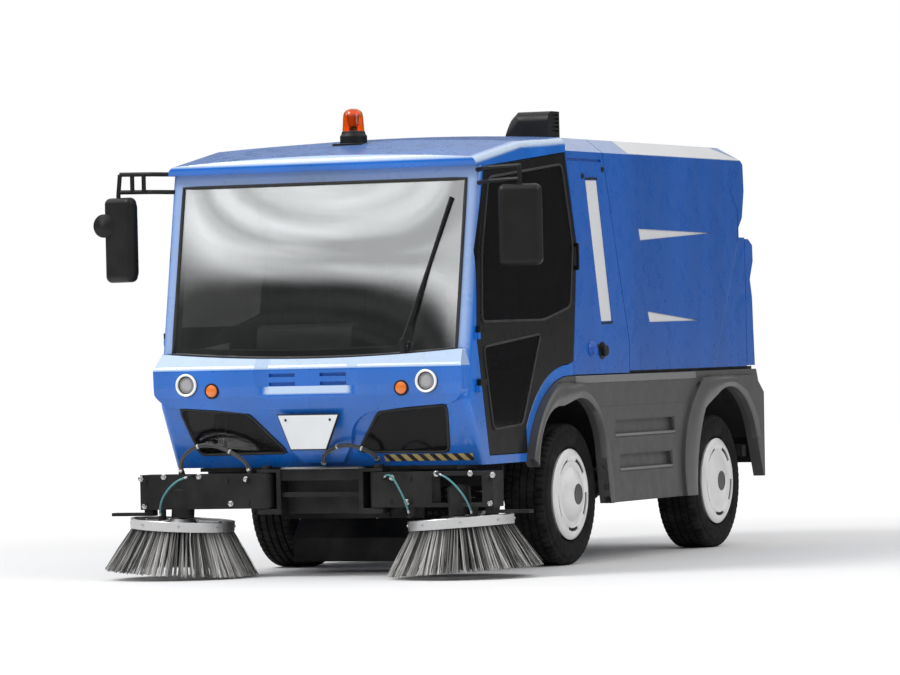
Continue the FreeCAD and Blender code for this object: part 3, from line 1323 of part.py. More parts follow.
def make_roof_gear():
    mount = ROOF_FRONT_Z + 142
    at = (BEACON_X, BEACON_Y, mount + 44)
    base = turned([(0, -44), (72, -44), (72, 14), (62, 20), (62, 34), (0, 34)], at, (0, 0, 1))
    dome = turned([(0, 34), (58, 34), (55, 112), cap(55, 112, 46)], at, (0, 0, 1))
    plinth = block(BEACON_X - 95, BEACON_X + 75, BEACON_Y - 75, BEACON_Y + 75, mount - 70, mount + 12)
    NODES["beacon"] = fused([base, dome, plinth]).cut(NODES["cab_roof"])
    y0, y1 = ROOF_JOINT_Y + 24, ROOF_JOINT_Y + 191
    x0, x1 = BODY_HALF_WIDTH - 375, BODY_HALF_WIDTH - 110
    foot, head = ROOF_TOP_Z - 20, ROOF_TOP_Z + 146
    scoop = along([(x0, foot), (x0 + 40, head - 30), (x0 + 70, head), (x1, head), (x1, foot)], y0, y1)

    def leading_edge(edge):
        at_edge = middle(edge)
        return abs(at_edge.y - y0) < 0.1 and at_edge.z > head - 25

    scoop = rounded(scoop, 60, leading_edge)
    for index in range(5):
        z = foot + 52 + index * 22
        scoop = scoop.cut(block(x1 - 10, x1 + 5, y0 + 62, y1 - 14, z, z + 12))
    NODES["roof_intake"] = scoop.cut(NODES["engine_housing"]).cut(NODES["cab_roof"])


def windshield_y(z):
    """Face of the windshield at a height."""
    (y0, z0), (y1, z1) = CAB_FRONT[2][:2], CAB_FRONT[3][:2]
    return y0 + (z - z0) * (y1 - y0) / (z1 - z0)


def chain(points, radius):
    """Bent bar through its points, with a ball at each bend."""
    pieces = [rod(a, b, radius) for a, b in zip(points, points[1:])]
    pieces += [Part.makeSphere(radius, V(*point)) for point in points[1:-1]]
    return pieces


MIRROR_X = BODY_HALF_WIDTH + 240
MIRROR_Y = CAB_NOSE_Y + 135
BAR_RADIUS = 12.0


def mirror_head(sign, half_width, low, high, yaw):
    head = block(-half_width, half_width, -40, 40, low, high)
    head = rounded(head, 34, lambda edge: True)
    head.rotate(V(0, 0, 0), V(0, 0, 1), yaw)
    head.translate(V(sign * MIRROR_X, MIRROR_Y, 0))
    return head


def make_mirrors():
    """The left head hangs on two bars; the right one, and a small wide one, on a ladder bracket."""
    y, r = MIRROR_Y, BAR_RADIUS
    root_x, root_y = CAB_FRONT_HALF_WIDTH - 15, CAB_NOSE_Y + 245
    knee_x, knee_y = CAB_FRONT_HALF_WIDTH + 95, CAB_NOSE_Y + 163
    bars = []
    for z in (ROOF_REAR_Z - 188, ROOF_REAR_Z - 118):
        bars += chain([(root_x, root_y, z - 10), (knee_x, knee_y, z - 4), (MIRROR_X, y, z), (MIRROR_X, y, z - 40)], r)
    low, high = upper(0.40), upper(0.80)
    bars.append(rod((MIRROR_X, y, low + 60), (MIRROR_X, y, ROOF_REAR_Z - 118), r))
    left = fused(bars + [mirror_head(1, 116, low, high, 12)])
    bars = []
    for z in (ROOF_REAR_Z - 184, ROOF_REAR_Z - 88):
        bars += chain([(-root_x, root_y, z - 6), (-knee_x, knee_y, z - 3), (-MIRROR_X, y, z)], r)
    for x in (knee_x + 40, knee_x + 110):
        bars.append(rod((-x, y + 8, ROOF_REAR_Z - 186), (-x, y + 8, ROOF_REAR_Z - 90), r))
    low, high = upper(0.37), upper(0.80)
    bars += chain([(-MIRROR_X, y, ROOF_REAR_Z - 88), (-MIRROR_X - 12, y, ROOF_REAR_Z - 200), (-MIRROR_X, y, low + 60)], r)
    wide_angle = turned([(0, -28), (52, -28), (64, -8), (64, 20), (0, 40)], (-MIRROR_X - 92, y - 6, high - 150), (0, -1, 0))
    stalk = rod((-MIRROR_X - 92, y, high - 150), (-MIRROR_X, y, high - 150), r)
    right = fused(bars + [mirror_head(-1, 104, low, high, -20), wide_angle, stalk])
    outside = [piece.cut(NODES["cab_shell"]).cut(NODES["cab_roof"]) for piece in (left, right)]
    NODES["mirrors"] = Part.makeCompound([max(piece.Solids, key=lambda solid: solid.Volume) for piece in outside])


def make_wiper():
    lift = 16
    low, high, bend = BELT_Z + 122, ROOF_REAR_Z - 268, BELT_Z + 462
    blade_low = (wide(0.62), windshield_y(low) - lift, low)
    blade_high = (wide(0.84), windshield_y(high) - lift, high)
    elbow = (wide(0.73), windshield_y(bend) - lift, bend)
    knob = (wide(0.602), CAB_NOSE_Y - 3, BELT_Z + 42)
    root = (knob[0], CAB_NOSE_Y + 13, BELT_Z - 28)
    pieces = chain([root, knob, (knob[0], knob[1] + 2, knob[2] + 10)], 18)
    pieces += [rod(knob, elbow, 8), Part.makeSphere(8, V(*elbow)), rod(blade_low, blade_high, 9)]
    NODES["wiper"] = fused(pieces).cut(NODES["front_panel"]).cut(NODES["cab_shell"]).cut(NODES["cab_glass"])


def bent_path(points, radius_at):
    """Wire of straight runs joined by tangent arcs, and the arcs' radii."""
    edges, radii = [], []
    here = points[0]
    for before, corner, after in zip(points, points[1:], points[2:]):
        into, out = corner - before, after - corner
        half = into.getAngle(out) / 2
        radius = radius_at(min(into.Length, out.Length), half)
        start, mid, end = corner_arc(before, corner, after, radius)
        edges.append(Part.LineSegment(here, start).toShape())
        edges.append(Part.Arc(start, mid, end).toShape())
        radii.append(radius)
        here = end
    edges.append(Part.LineSegment(here, points[-1]).toShape())
    return Part.Wire(edges), radii


def piped(path, points, radius):
    circle = Part.Wire(Part.Circle(points[0], points[1] - points[0], radius).toShape())
    return path.makePipeShell([circle], True, False)


def make_duct():
    """Suction nozzle on the road and the duct from it over the axle into the hopper's floor."""
    half = NOZZLE_HALF_WIDTH
    y, t = NOZZLE_Y, NOZZLE_PLATE
    foot, shoulder, head = 62, 190, 300
    outer = [(y - 180, foot), (y - 180, shoulder), (y - 80, head), (y + 80, head), (y + 140, shoulder), (y + 140, foot)]
    inner = [
        (y - 180 + t, foot - 22), (y - 180 + t, shoulder - 4), (y - 74, head - t), (y + 74, head - t),
        (y + 140 - t, shoulder - 4), (y + 140 - t, foot - 22),
    ]
    nozzle = across(outer, -half, half).cut(across(inner, -half + t, half - t))
    NODES["suction_nozzle"] = nozzle.cut(rod((0, y, head - 50), (0, y, head + 30), DUCT_RADIUS - DUCT_WALL))
    points = [
        V(0, y, head), V(0, y, DUCT_Z), V(0, DUCT_PORT_Y - 240, DUCT_Z),
        V(0, DUCT_PORT_Y, DUCT_Z + 240), V(0, DUCT_PORT_Y, HOPPER_BOTTOM_Z - 6),
    ]
    path = bent_path(points, lambda run, half_turn: DUCT_BEND)[0]
    NODES["suction_duct"] = piped(path, points, DUCT_RADIUS).cut(piped(path, points, DUCT_RADIUS - DUCT_WALL))


def make_carrier():
    """Cross beam under the cab's nose that carries both brush arms on upright pins."""
    y = ARM_PIVOT_Y
    back_y = y + ARM_EYE + 10
    span = ARM_PIVOT_X - 75
    low, high = ARM_BOTTOM_Z, ARM_TOP_Z
    post = RAIL_X + RAIL_WIDTH / 2
    pieces = [
        block(-span, span, y - 30, y, high - 40, high + 15),
        block(-span, span, y + 30, back_y + 5, high - 40, high + 15),
        block(-span, span, y - 24, y - 6, low + 60, low + 84),
        block(-post, post, back_y, RAIL_FRONT_Y, low - 32, high + 15),
    ]
    for sign in (-1, 1):
        inner, outer = sign * (span - 25), sign * (ARM_PIVOT_X + 40)
        for z0, z1 in ((low - 32, low - 4), (high + 4, high + 20)):
            pieces.append(block(inner, outer, y - 40, back_y + 5, z0, z1))
        pieces.append(block(inner, sign * span, y - 40, back_y + 5, low - 32, high + 15))
        pieces.append(rod((sign * ARM_PIVOT_X, y, low - 27), (sign * ARM_PIVOT_X, y, high + 32), ARM_PIN))
        pieces.append(rod((sign * ARM_PIVOT_X, y, high + 19), (sign * ARM_PIVOT_X, y, high + 40), 30))
    for x in (-60, 20):
        pieces.append(rod((x, y - 16, high), (x, y - 16, high + 30), HYDRAULIC_HOSE * 0.75))
    NODES["brush_carrier"] = fused(pieces)


def tilted_up():
    return FreeCAD.Rotation(V(0, 1, 0), -BRUSH_TILT).multVec(V(0, 0, 1))


def arm_front_y(x):
    """Front face of the arm's beam at a distance from the middle plane."""
    share = (x - ARM_PIVOT_X) / ARM_REACH
    return ARM_PIVOT_Y - ARM_EYE + share * (BRUSH_Y - 66 - ARM_PIVOT_Y + ARM_EYE)


def hose_fitting(end, after, diameter, length):
    """Fitting that a hose comes out of, in line with its first run."""
    out = (V(*end) - V(*after)).normalize()
    return rod(end, tuple(V(*end) + out * length), diameter * 0.72)


def make_arm(open_front):
    """Brush arm drawn on the left: a box beam on the pin, open or closed in front of the brush's motor."""
    x, y, low, high = ARM_PIVOT_X, ARM_PIVOT_Y, ARM_BOTTOM_Z, ARM_TOP_Z
    end = ARM_END_X
    eye = rod((x, y, low), (x, y, high), ARM_EYE)
    beam = upright([(x, y - ARM_EYE), (end, BRUSH_Y - 66), (end, BRUSH_Y + 66), (x, y + ARM_EYE)], low, high)
    if open_front:
        beam = beam.cut(block(BRUSH_X - 150, BRUSH_X + 150, BRUSH_Y - 200, BRUSH_Y + 200, low + 22, high - 22))
    guard = block(end - 60, end + 190, BRUSH_Y - 40, BRUSH_Y + 20, low - 34, low - 16)
    drop = block(end - 60, end - 10, BRUSH_Y - 40, BRUSH_Y + 20, low - 34, low + 1)
    pieces = [eye, beam, guard, drop]
    for bolt_x in (x + 90, x + 210, end - 30):
        for z in (low + 34, high - 34):
            pieces.append(rod((bolt_x, arm_front_y(bolt_x) - 9, z), (bolt_x, arm_front_y(bolt_x) + 4, z), 11))
    arm = fused(pieces).cut(rod((x, y, low - 60), (x, y, high + 40), ARM_PIN + RUNNING_FIT))
    up = tilted_up()
    centre = V(BRUSH_X, BRUSH_Y, DISC_Z)
    motor = turned([(0, 44), (MOTOR_RADIUS, 44), (MOTOR_RADIUS, 190), (38, 205), (0, 205)], tuple(centre), tuple(up))
    shaft = turned([(0, -12), (20, -12), (20, 60), (0, 60)], tuple(centre), tuple(up))
    return fused([arm, motor, shaft])


def make_brush():
    """Left brush: a tilted disc, and tufts that splay from it to the road."""
    up = tilted_up()
    centre = V(BRUSH_X, BRUSH_Y, DISC_Z)
    bore = 20 + RUNNING_FIT
    rim = DISC_RADIUS
    disc = turned(
        [(bore, 0), (rim, 0), (rim, DISC_RIM), (rim - 12, DISC_RIM), (rim - 12, 14), (90, 14), (60, 38), (bore, 38)],
        tuple(centre), tuple(up),
    )
    drop = DISC_Z - BRISTLE_TIP_Z
    lean = math.radians(BRUSH_TILT)
    tip = -(drop - math.sin(lean) * BRISTLE_RADIUS) / math.cos(lean)
    holder = turned_ring(rim - 62, rim - 8, -14, -SEAT_GAP)
    tufts = [holder]
    for index in range(TUFTS):
        foot = rectangle(rim - 58, rim - 10, TUFT_FOOT / 2, -10)
        reach = BRISTLE_RADIUS - 6 * (index % 3)
        tuft_tip = rectangle(reach - 84, reach, TUFT_TIP / 2, tip + 9 * (index % 2))
        tuft = Part.makeLoft([foot, tuft_tip], True, True)
        tuft.rotate(V(0, 0, 0), V(0, 0, 1), index * 360 / TUFTS)
        tufts.append(tuft)
    bristles = fused(tufts)
    bristles.Placement = FreeCAD.Placement(centre, FreeCAD.Rotation(V(0, 0, 1), up)).multiply(bristles.Placement)
    return disc, bristles


def turned_ring(inner, outer, low, high):
    return turned([(inner, low), (outer, low), (outer, high), (inner, high)], (0, 0, 0), (0, 0, 1))


def rectangle(x0, x1, half, z):
    corners = [V(x0, -half, z), V(x1, -half, z), V(x1, half, z), V(x0, half, z)]
    return Part.makePolygon(corners + corners[:1])


# Hose routes, from end to end, as X, Y and Z. The hydraulic one on the arm is drawn on its left.
ARM_HOSE = [
    (805, -1372, 574), (806, -1386, 618), (772, -1394, 664), (716, -1398, 704), (646, -1396, 722),
    (566, -1390, 708), (490, -1380, 672), (438, -1368, 634), (418, -1354, 604), (412, -1342, 576),
]
CARRIER_HOSE = [
    (20, -1316, 605), (26, -1340, 640), (66, -1362, 676), (124, -1374, 702), (196, -1376, 708),
    (262, -1370, 690), (308, -1352, 664), (328, -1324, 642), (330, -1300, 622),
]
OUTER_SPRAY = [
    (742, -1430, 548), (780, -1446, 536), (822, -1452, 508), (864, -1452, 466), (896, -1444, 418),
    (912, -1430, 372), (918, -1416, 340),
]
INNER_SPRAY = [
    (404, -1388, 534), (426, -1400, 548), (452, -1416, 544), (478, -1424, 520), (502, -1426, 480),
    (526, -1420, 430), (540, -1408, 380), (546, -1396, 342),
]


def make_hose(name, route, diameter, sign):
    """Tube along a route, each arc as large as its two runs allow."""
    points = [V(sign * x, y, z) for x, y, z in route]
    path, radii = bent_path(points, lambda run, half: 0.45 * run / math.tan(half))
    tube = piped(path, points, diameter / 2)
    print(name, "radii", [round(radius) for radius in radii], "length", round(path.Length), "volume share",
          round(tube.Volume / (path.Length * math.pi * diameter * diameter / 4), 4))
    NODES[name] = tube


def spray_tip(route):
    """Bracket from the arm's foot and the nozzle under a spray hose's end."""
    nozzle = hose_fitting(route[-1], route[-2], SPRAY_HOSE, 26)
    x, y, z = route[-1]
    face = arm_front_y(x)
    bracket = block(x - 12, x + 12, y - 2, face + 30, z - 24, z - 14)
    leg = block(x - 12, x + 12, face + 10, face + 30, z - 24, ARM_BOTTOM_Z + 2)
    return [nozzle, bracket, leg]


def spray_clip(route):
    """Fitting at a spray hose's start and the stud that holds it on the arm's face."""
    x, y, z = route[0]
    fitting = hose_fitting(route[0], route[1], SPRAY_HOSE, 24)
    at = V(*route[0]) + (V(*route[0]) - V(*route[1])).normalize() * 14
    return [fitting, rod((at.x, arm_front_y(x) + 4, at.z), tuple(at), 7)]


def make_brush_gear():
    make_carrier()
    left = [make_arm(True)] + spray_tip(INNER_SPRAY) + spray_clip(INNER_SPRAY)
    both = spray_tip(OUTER_SPRAY) + spray_clip(OUTER_SPRAY)
    right = [make_arm(False), hose_fitting(ARM_HOSE[0], ARM_HOSE[1], HYDRAULIC_HOSE, 18)]
    right.append(hose_fitting(ARM_HOSE[-1], ARM_HOSE[-2], HYDRAULIC_HOSE, 18))
    NODES["brush_arm_left"] = fused(left + both)
    NODES["brush_arm_right"] = mirrored(fused(right + both))
    disc, bristles = make_brush()
    NODES["brush_disc_left"] = disc
    NODES["brush_disc_right"] = mirrored(disc)
    NODES["bristles_left"] = bristles
    NODES["bristles_right"] = mirrored(bristles)
    make_hose("hydraulic_hose_left", CARRIER_HOSE, HYDRAULIC_HOSE, 1)
    make_hose("hydraulic_hose_right", ARM_HOSE, HYDRAULIC_HOSE, -1)
    make_hose("spray_hose_left", OUTER_SPRAY, SPRAY_HOSE, 1)
    make_hose("spray_hose_right", OUTER_SPRAY, SPRAY_HOSE, -1)
    make_hose("spray_hose_inner", INNER_SPRAY, SPRAY_HOSE, 1)


def make_cylinders():
    run = V(0, ROD_EYE_Y - BARREL_PIVOT_Y, ROD_EYE_Z - BARREL_PIVOT_Z)
    closed = run.Length
    direction = V(run).normalize()
    base = V(0, BARREL_PIVOT_Y, BARREL_PIVOT_Z)
    tube_length = 0.65 * closed
    ram_length = 0.57 * closed
    barrels, rods = [], []
    for sign in (-1, 1):
        at = V(sign * CYLINDER_X, 0, 0) + base
        eye = pin_across(at.x, at.y, at.z, 40, EYE_RADIUS)
        tube = Part.makeCylinder(BARREL_RADIUS, tube_length, at + direction * 20, direction)
        bore = Part.makeCylinder(RAM_RADIUS + RUNNING_FIT, tube_length, at + direction * 100, direction)
        pin = pin_across(at.x, at.y, at.z, 60, BARREL_PIN + RUNNING_FIT)
        barrels.append(fused([eye, tube]).cut(bore).cut(pin))
        end = at + run
        ram = Part.makeCylinder(RAM_RADIUS, ram_length, end - direction * (ram_length + 24), direction)
        rods.append(fused([ram, pin_across(end.x, end.y, end.z, EYE_RADIUS, EYE_RADIUS)]))
    NODES["tip_barrels"] = Part.makeCompound(barrels)
    NODES["tip_rods"] = Part.makeCompound(rods)


make_cab()
make_roof()
make_front_panel()
make_engine_housing()
make_hopper()
make_tailgate()
make_skirts()
make_liners()
make_frame()
make_bumper()
make_axles()
make_wheels()
make_seats()
make_dashboard()
make_roof_gear()
make_mirrors()
make_wiper()
make_duct()
make_brush_gear()
make_cylinders()

os.makedirs("parts", exist_ok=True)
for name, shape in NODES.items():
    shape.translate(V(0, FRONT_AXLE_Y, 0))
    shape.exportStep("parts/%s.step" % name)
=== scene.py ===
import json
import math
import random

import bmesh
import bpy
from mathutils import Matrix, Vector


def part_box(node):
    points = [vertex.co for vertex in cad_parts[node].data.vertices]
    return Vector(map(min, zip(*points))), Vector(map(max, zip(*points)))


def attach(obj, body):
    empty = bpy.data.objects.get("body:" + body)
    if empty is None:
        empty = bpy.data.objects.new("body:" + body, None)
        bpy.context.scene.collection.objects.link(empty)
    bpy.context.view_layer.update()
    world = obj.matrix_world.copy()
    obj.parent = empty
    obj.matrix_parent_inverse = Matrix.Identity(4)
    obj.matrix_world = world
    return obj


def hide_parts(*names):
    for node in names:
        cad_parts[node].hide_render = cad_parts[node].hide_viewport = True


# Compact street sweeper truck. +X is the vehicle's left, +Y its rear and +Z up. Places are
# given in millimetres, with Y from the front axle, and turned into the frame's metres by at().
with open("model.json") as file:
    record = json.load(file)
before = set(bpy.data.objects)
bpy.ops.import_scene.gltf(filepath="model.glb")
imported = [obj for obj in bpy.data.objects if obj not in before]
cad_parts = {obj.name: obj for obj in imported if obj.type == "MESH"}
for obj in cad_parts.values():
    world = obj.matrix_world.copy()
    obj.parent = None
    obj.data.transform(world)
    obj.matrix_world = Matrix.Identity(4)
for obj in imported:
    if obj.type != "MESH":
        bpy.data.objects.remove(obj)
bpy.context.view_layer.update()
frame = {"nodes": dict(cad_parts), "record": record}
AXLE_Y = sum(corner.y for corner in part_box("tyre_front_left")) / 2


def at(x, y, z):
    return Vector((x / 1000, y / 1000 + AXLE_Y, z / 1000))


# Camera of the photograph, as a viewpoint round a target on the vehicle
TARGET = at(0, 500, 1200)
AZIMUTH = 23.8817
ELEVATION = 0.1012
ROLL = -1.3046
DISTANCE = 30.093
LENS = 213.1
SENSOR = 36.0
SHIFT = (-0.00672, 0.01288)

# Body lines that the CAD is built on
NOSE_Y = -1425.0
CAB_BACK_Y = 90.0
HALF_WIDTH = 940.0
FRONT_HALF_WIDTH = 905.0
FLOOR_Z = 590.0
DECK_Z = 1044.0
BELT_Z = 1208.0
ROOF_FRONT_Z = 2178.0
ROOF_REAR_Z = 2278.0
ROOF_TOP_Z = 2352.0
WAIST_Z = 1754.8
ARCH_Y = -104.0
WHEELBASE = 2240.0
WHEEL_X = 768.0
TYRE_RADIUS = 390.0
SKIRT_X = 945.0
FLARE_X = 970.0
SKIRT_BOTTOM_Z = 325.0
SKIRT_TOP_Z = 1040.0
ARCH_Z = 439.0
ARCH_LINER_RADIUS = 625.0
HOPPER_FRONT_Y = 789.0
HOPPER_BASE_Z = 1058.0
NOSE_DEPTH, NOSE_HEIGHT = 190.0, 340.0
WINDSHIELD_SLOPE = 179 / 898
# Height, front and rear of each slot in the skirt
SKIRT_SLOTS = ((703, 526, 1425), (510, 585, 1378))
BRUSH = (822.0, -1340.0, 285.0)
TILT = math.radians(3.5)
BRUSH_UP = Vector((-math.sin(TILT), 0, math.cos(TILT)))
BRUSH_ACROSS = Vector((math.cos(TILT), 0, math.sin(TILT)))
BUNDLE_DIAMETER, SPRAY_DIAMETER = 24, 11
SIDES = (("left", 1), ("right", -1))
OUTWARD, FORWARD, UPWARD = (1, 0, 0), (0, -1, 0), (0, 0, 1)

# Every look by its name; most are named after a slot, and the others share the slots below
LOOKS = {}
# Nodes of the CAD that don't take the look of their own slot
NODE_LOOKS = {
    "door_glass_left": "side_glass", "door_glass_right": "side_glass", "cab_shell": "cab_blue_lit",
    "cab_roof": "cab_blue_lit", "front_panel": "cab_blue_lit", "dashboard": "dash_grey", "steering_wheel": "dash_grey",
    "rear_lamps": "trim_black",
}
# Pale tone of the painted sky reflection on the paint's sloping upper faces
PAINTED_SKY_REFLECTION = (0.6, 0.71, 0.77)
ROAD_DUST = (0.16, 0.15, 0.135)


def feed(tree, node, socket, value):
    """Link a node's input to another node's output, or set its value."""
    if isinstance(value, bpy.types.NodeSocket):
        tree.links.new(value, node.inputs[socket])
    elif value is not None:
        node.inputs[socket].default_value = value


def add_node(tree, kind, inputs, output=0, **settings):
    made = tree.nodes.new("ShaderNode" + kind)
    for name, value in settings.items():
        setattr(made, name, value)
    for socket, value in inputs.items():
        feed(tree, made, socket, value)
    return made.outputs[output]


class Look:
    """A material: one Principled shader, with textures laid in the object's own coordinates."""

    def __init__(self, name, colour, roughness, **inputs):
        self.material = LOOKS[name] = bpy.data.materials.new(name)
        self.material.use_nodes = True
        self.tree = self.material.node_tree
        self.shader = self.tree.nodes["Principled BSDF"]
        self.place = self.node("TexCoord", {}, "Object")
        self.normal = None
        self.put("Base Color", (*colour, 1))
        self.put("Roughness", roughness)
        for socket, value in inputs.items():
            self.put(socket.replace("_", " "), value)

    def put(self, socket, value):
        feed(self.tree, self.shader, socket, value)

    def node(self, kind, inputs, output=0, **settings):
        return add_node(self.tree, kind, inputs, output, **settings)

    def noise(self, scale, detail=3.0, stretch=(1, 1, 1)):
        place = self.node("Mapping", {"Vector": self.place, "Scale": stretch})
        return self.node("TexNoise", {"Vector": place, "Scale": scale, "Detail": detail})

    def height(self, axis="Z"):
        return self.node("SeparateXYZ", {0: self.place}, axis)

    def range(self, value, low, high, start=0.0, end=1.0, **settings):
        return self.node("MapRange", {"Value": value, 1: low, 2: high, 3: start, 4: end}, **settings)

    def smooth_range(self, *values):
        return self.range(*values, interpolation_type="SMOOTHSTEP")

    def math(self, operation, a, b=None):
        return self.node("Math", {0: a, 1: b}, operation=operation)

    def blend(self, factor, low, high):
        low, high = ((*c, 1) if isinstance(c, tuple) else c for c in (low, high))
        return self.node("Mix", {0: factor, 6: low, 7: high}, 2, data_type="RGBA")

    def colour(self, value):
        self.put("Base Color", value)

    def rough(self, texture, low, high, span=(0.3, 0.7)):
        """Roughness that follows a texture between two values."""
        self.put("Roughness", self.range(texture, *span, low, high))

    def dusty(self, base, top, bottom, dust):
        """The base colour under road dust, which thickens from one height down to another."""
        low = self.range(self.height(), top, bottom, 0, dust)
        dirt = self.math("MULTIPLY", low, self.range(self.noise(6.5, 6), 0.35, 0.7))
        return self.blend(dirt, base, ROAD_DUST)

    def round_edges(self, radius):
        self.normal = self.node("Bevel", {"Radius": radius}, samples=4)
        self.put("Normal", self.normal)

    def bump(self, value, depth):
        inputs = {"Height": value, "Distance": depth, "Strength": 1.0, "Normal": self.normal}
        self.normal = self.node("Bump", inputs)
        self.put("Normal", self.normal)

    def edges(self, radius):
        """Mask that is 1 along worn outer edges."""
        bevel = self.node("Bevel", {"Radius": radius}, samples=4)
        plain = self.node("NewGeometry", {}, "Normal")
        dot = self.node("VectorMath", {0: bevel, 1: plain}, "Value", operation="DOT_PRODUCT")
        return self.range(dot, 0.985, 0.9)


def shades(colour, factor):
    return tuple(channel * factor for channel in colour)


def surface(name, colour, roughness, vary, dust, grain=(900, 0.00004), wear=None, radius=0.003, **inputs):
    """Painted or moulded surface: uneven tone, grain, road dust low down and worn edges."""
    look = Look(name, colour, roughness, **inputs)
    base = look.blend(look.noise(2.3), shades(colour, 1 - vary), shades(colour, 1 + vary))
    if wear:
        tone, share = wear
        worn = look.math("MULTIPLY", look.edges(0.004), look.range(look.noise(34, 5), 0.42, 0.62, 0, share))
        base = look.blend(worn, base, tone)
    look.colour(look.dusty(base, 1.15, 0.25, dust))
    look.rough(look.noise(11, 4), roughness * 0.85, min(1.0, roughness * 1.2 + 0.02))
    if radius:
        look.round_edges(radius)
    scale, depth = grain
    look.bump(look.noise(scale, 2), depth)


def body_paint(name, colour, share):
    """Blue paint with faint rain streaks, road dust low down and a painted sky reflection that pales its sloping
    upper faces.
    """
    look = Look(name, colour, 0.3, Coat_Weight=0.4, Coat_Roughness=0.06)
    streaks = look.range(look.noise(3.2, 0.6, (1, 1, 0.1)), 0.25, 0.75)
    base = look.blend(streaks, shades(colour, 0.88), shades(colour, 1.14))
    base = look.dusty(base, 1.25, 0.55, 0.22)
    # Painted sky reflection: faces that slope upwards are paled towards a sky tone, less so on level tops, by a
    # share given per paint
    up = look.node("SeparateXYZ", {0: look.node("TexCoord", {}, "Normal")}, "Z")
    sky_reflection_slope = look.smooth_range(up, 0.05, 0.3, 0.0, share)
    level = look.smooth_range(up, 0.8, 0.99, 1.0, 0.3)
    look.colour(look.blend(look.math("MULTIPLY", sky_reflection_slope, level), base, PAINTED_SKY_REFLECTION))
    look.rough(look.noise(11, 4), 0.24, 0.36)
    look.bump(look.noise(7, 2), 0.0003)


def brushed_steel(name, colour, roughness):
    look = Look(name, colour, roughness, Metallic=1.0)
    streaks = look.noise(60, 4, (1, 1, 14))
    look.colour(look.blend(streaks, shades(colour, 0.75), shades(colour, 1.1)))
    look.rough(streaks, roughness * 0.8, roughness * 1.3)
    look.round_edges(0.002)
    look.bump(streaks, 0.0001)


def glass(name, colour, roughness, **inputs):
    """Smeared glass; with an alpha it is a thin pane that mirrors a share of the sky and lets the rest through."""
    look = Look(name, colour, roughness, Transmission_Weight=0.0 if "Alpha" in inputs else 1.0, **inputs)
    look.rough(look.noise(5, 5), roughness, roughness + 0.03, (0.35, 0.75))
    if "Alpha" in inputs:
        look.material.surface_render_method = "BLENDED"


def woven_cloth(name, colour):
    look = Look(name, colour, 0.9, Sheen_Weight=0.3, Sheen_Roughness=0.5)
    thread = {"Vector": look.place, "Scale": 260.0, "Distortion": 0.4}
    warp, weft = (look.node("TexWave", thread, "Fac", bands_direction=axis) for axis in "XZ")
    look.colour(look.blend(look.noise(40, 4), shades(colour, 0.7), shades(colour, 1.5)))
    look.bump(look.math("MAXIMUM", warp, weft), 0.0006)


def tyre_rubber(name):
    """Black rubber, dusty on its tread, with fine rings on its walls."""
    colour = (0.008, 0.008, 0.0085)
    look = Look(name, colour, 0.82, Specular_IOR_Level=0.15)
    centre = look.node("CombineXYZ", {0: 0.0, 1: 1.0, 2: 1.0})
    flat = look.node("VectorMath", {0: look.place, 1: centre}, operation="MULTIPLY")
    reach = look.node("VectorMath", {0: flat}, "Value", operation="LENGTH")
    tread = look.range(reach, 0.366, 0.384)
    dust = look.math("MULTIPLY", look.range(look.noise(9, 6), 0.4, 0.75), look.range(tread, 0, 1, 0.35, 0.7))
    look.colour(look.blend(dust, shades(colour, 0.8), (0.034, 0.032, 0.029)))
    look.rough(look.noise(30, 4), 0.72, 0.92)
    rings = look.node("TexWave", {"Vector": reach, "Scale": 60.0}, "Fac")
    look.bump(look.math("ADD", look.noise(420, 3), look.math("MULTIPLY", rings, 0.6)), 0.0005)


def fibre(name):
    """Stiff fibres, whose tones and painted shade were laid on their points."""
    look = Look(name, (0.2, 0.2, 0.2), 0.6)
    tone, depth = (look.node("Attribute", {}, "Fac", attribute_name=layer) for layer in ("tone", "depth"))
    pale = look.blend(tone, (0.012, 0.012, 0.013), (0.62, 0.61, 0.59))
    # The depth attribute is painted shade: fibres darken towards their feet under the disc and on the inner rows
    look.colour(look.blend(depth, (0.02, 0.02, 0.02), pale))
    look.bump(look.noise(500, 2), 0.0002)


def hazard_tape(name):
    look = Look(name, (0.6, 0.45, 0.1), 0.45)
    slant = look.math("ADD", look.height("X"), look.math("MULTIPLY", look.height("Z"), 0.9))
    phase = look.math("FRACT", look.math("MULTIPLY", slant, 15.0))
    stripe = look.range(phase, 0.48, 0.52)
    scuff = look.range(look.noise(60, 5), 0.4, 0.75, 0, 0.5)
    base = look.blend(stripe, (0.012, 0.012, 0.012), (0.55, 0.42, 0.16))
    look.colour(look.blend(scuff, base, (0.1, 0.095, 0.085)))
    look.bump(look.noise(300), 0.0002)


# Looks of the slots
# The last figure of a blue paint is the share of its painted sky reflection
body_paint("body_blue", (0.008, 0.092, 0.40), 0.3)
surface("door_black", (0.006, 0.006, 0.0065), 0.3, 0.2, 0.03, radius=0.0015, Specular_IOR_Level=0.2)
surface("chassis_black", (0.007, 0.007, 0.0075), 0.5, 0.3, 0.13, (260, 0.0003), ((0.09, 0.087, 0.083), 0.3),
        Specular_IOR_Level=0.25)
brushed_steel("bright_steel", (0.6, 0.6, 0.6), 0.32)
surface("engine_iron", (0.055, 0.055, 0.06), 0.55, 0.2, 0.2, (300, 0.0005))
glass("window_glass", (0.78, 0.8, 0.81), 0.02, Alpha=0.5, Metallic=1.0)
surface("skirt_grey", (0.062, 0.062, 0.064), 0.42, 0.04, 0.05, (1100, 0.00008), ((0.16, 0.16, 0.16), 0.3), 0.002)
surface("trim_black", (0.009, 0.009, 0.0095), 0.42, 0.2, 0.05, (800, 0.0001), Specular_IOR_Level=0.25)
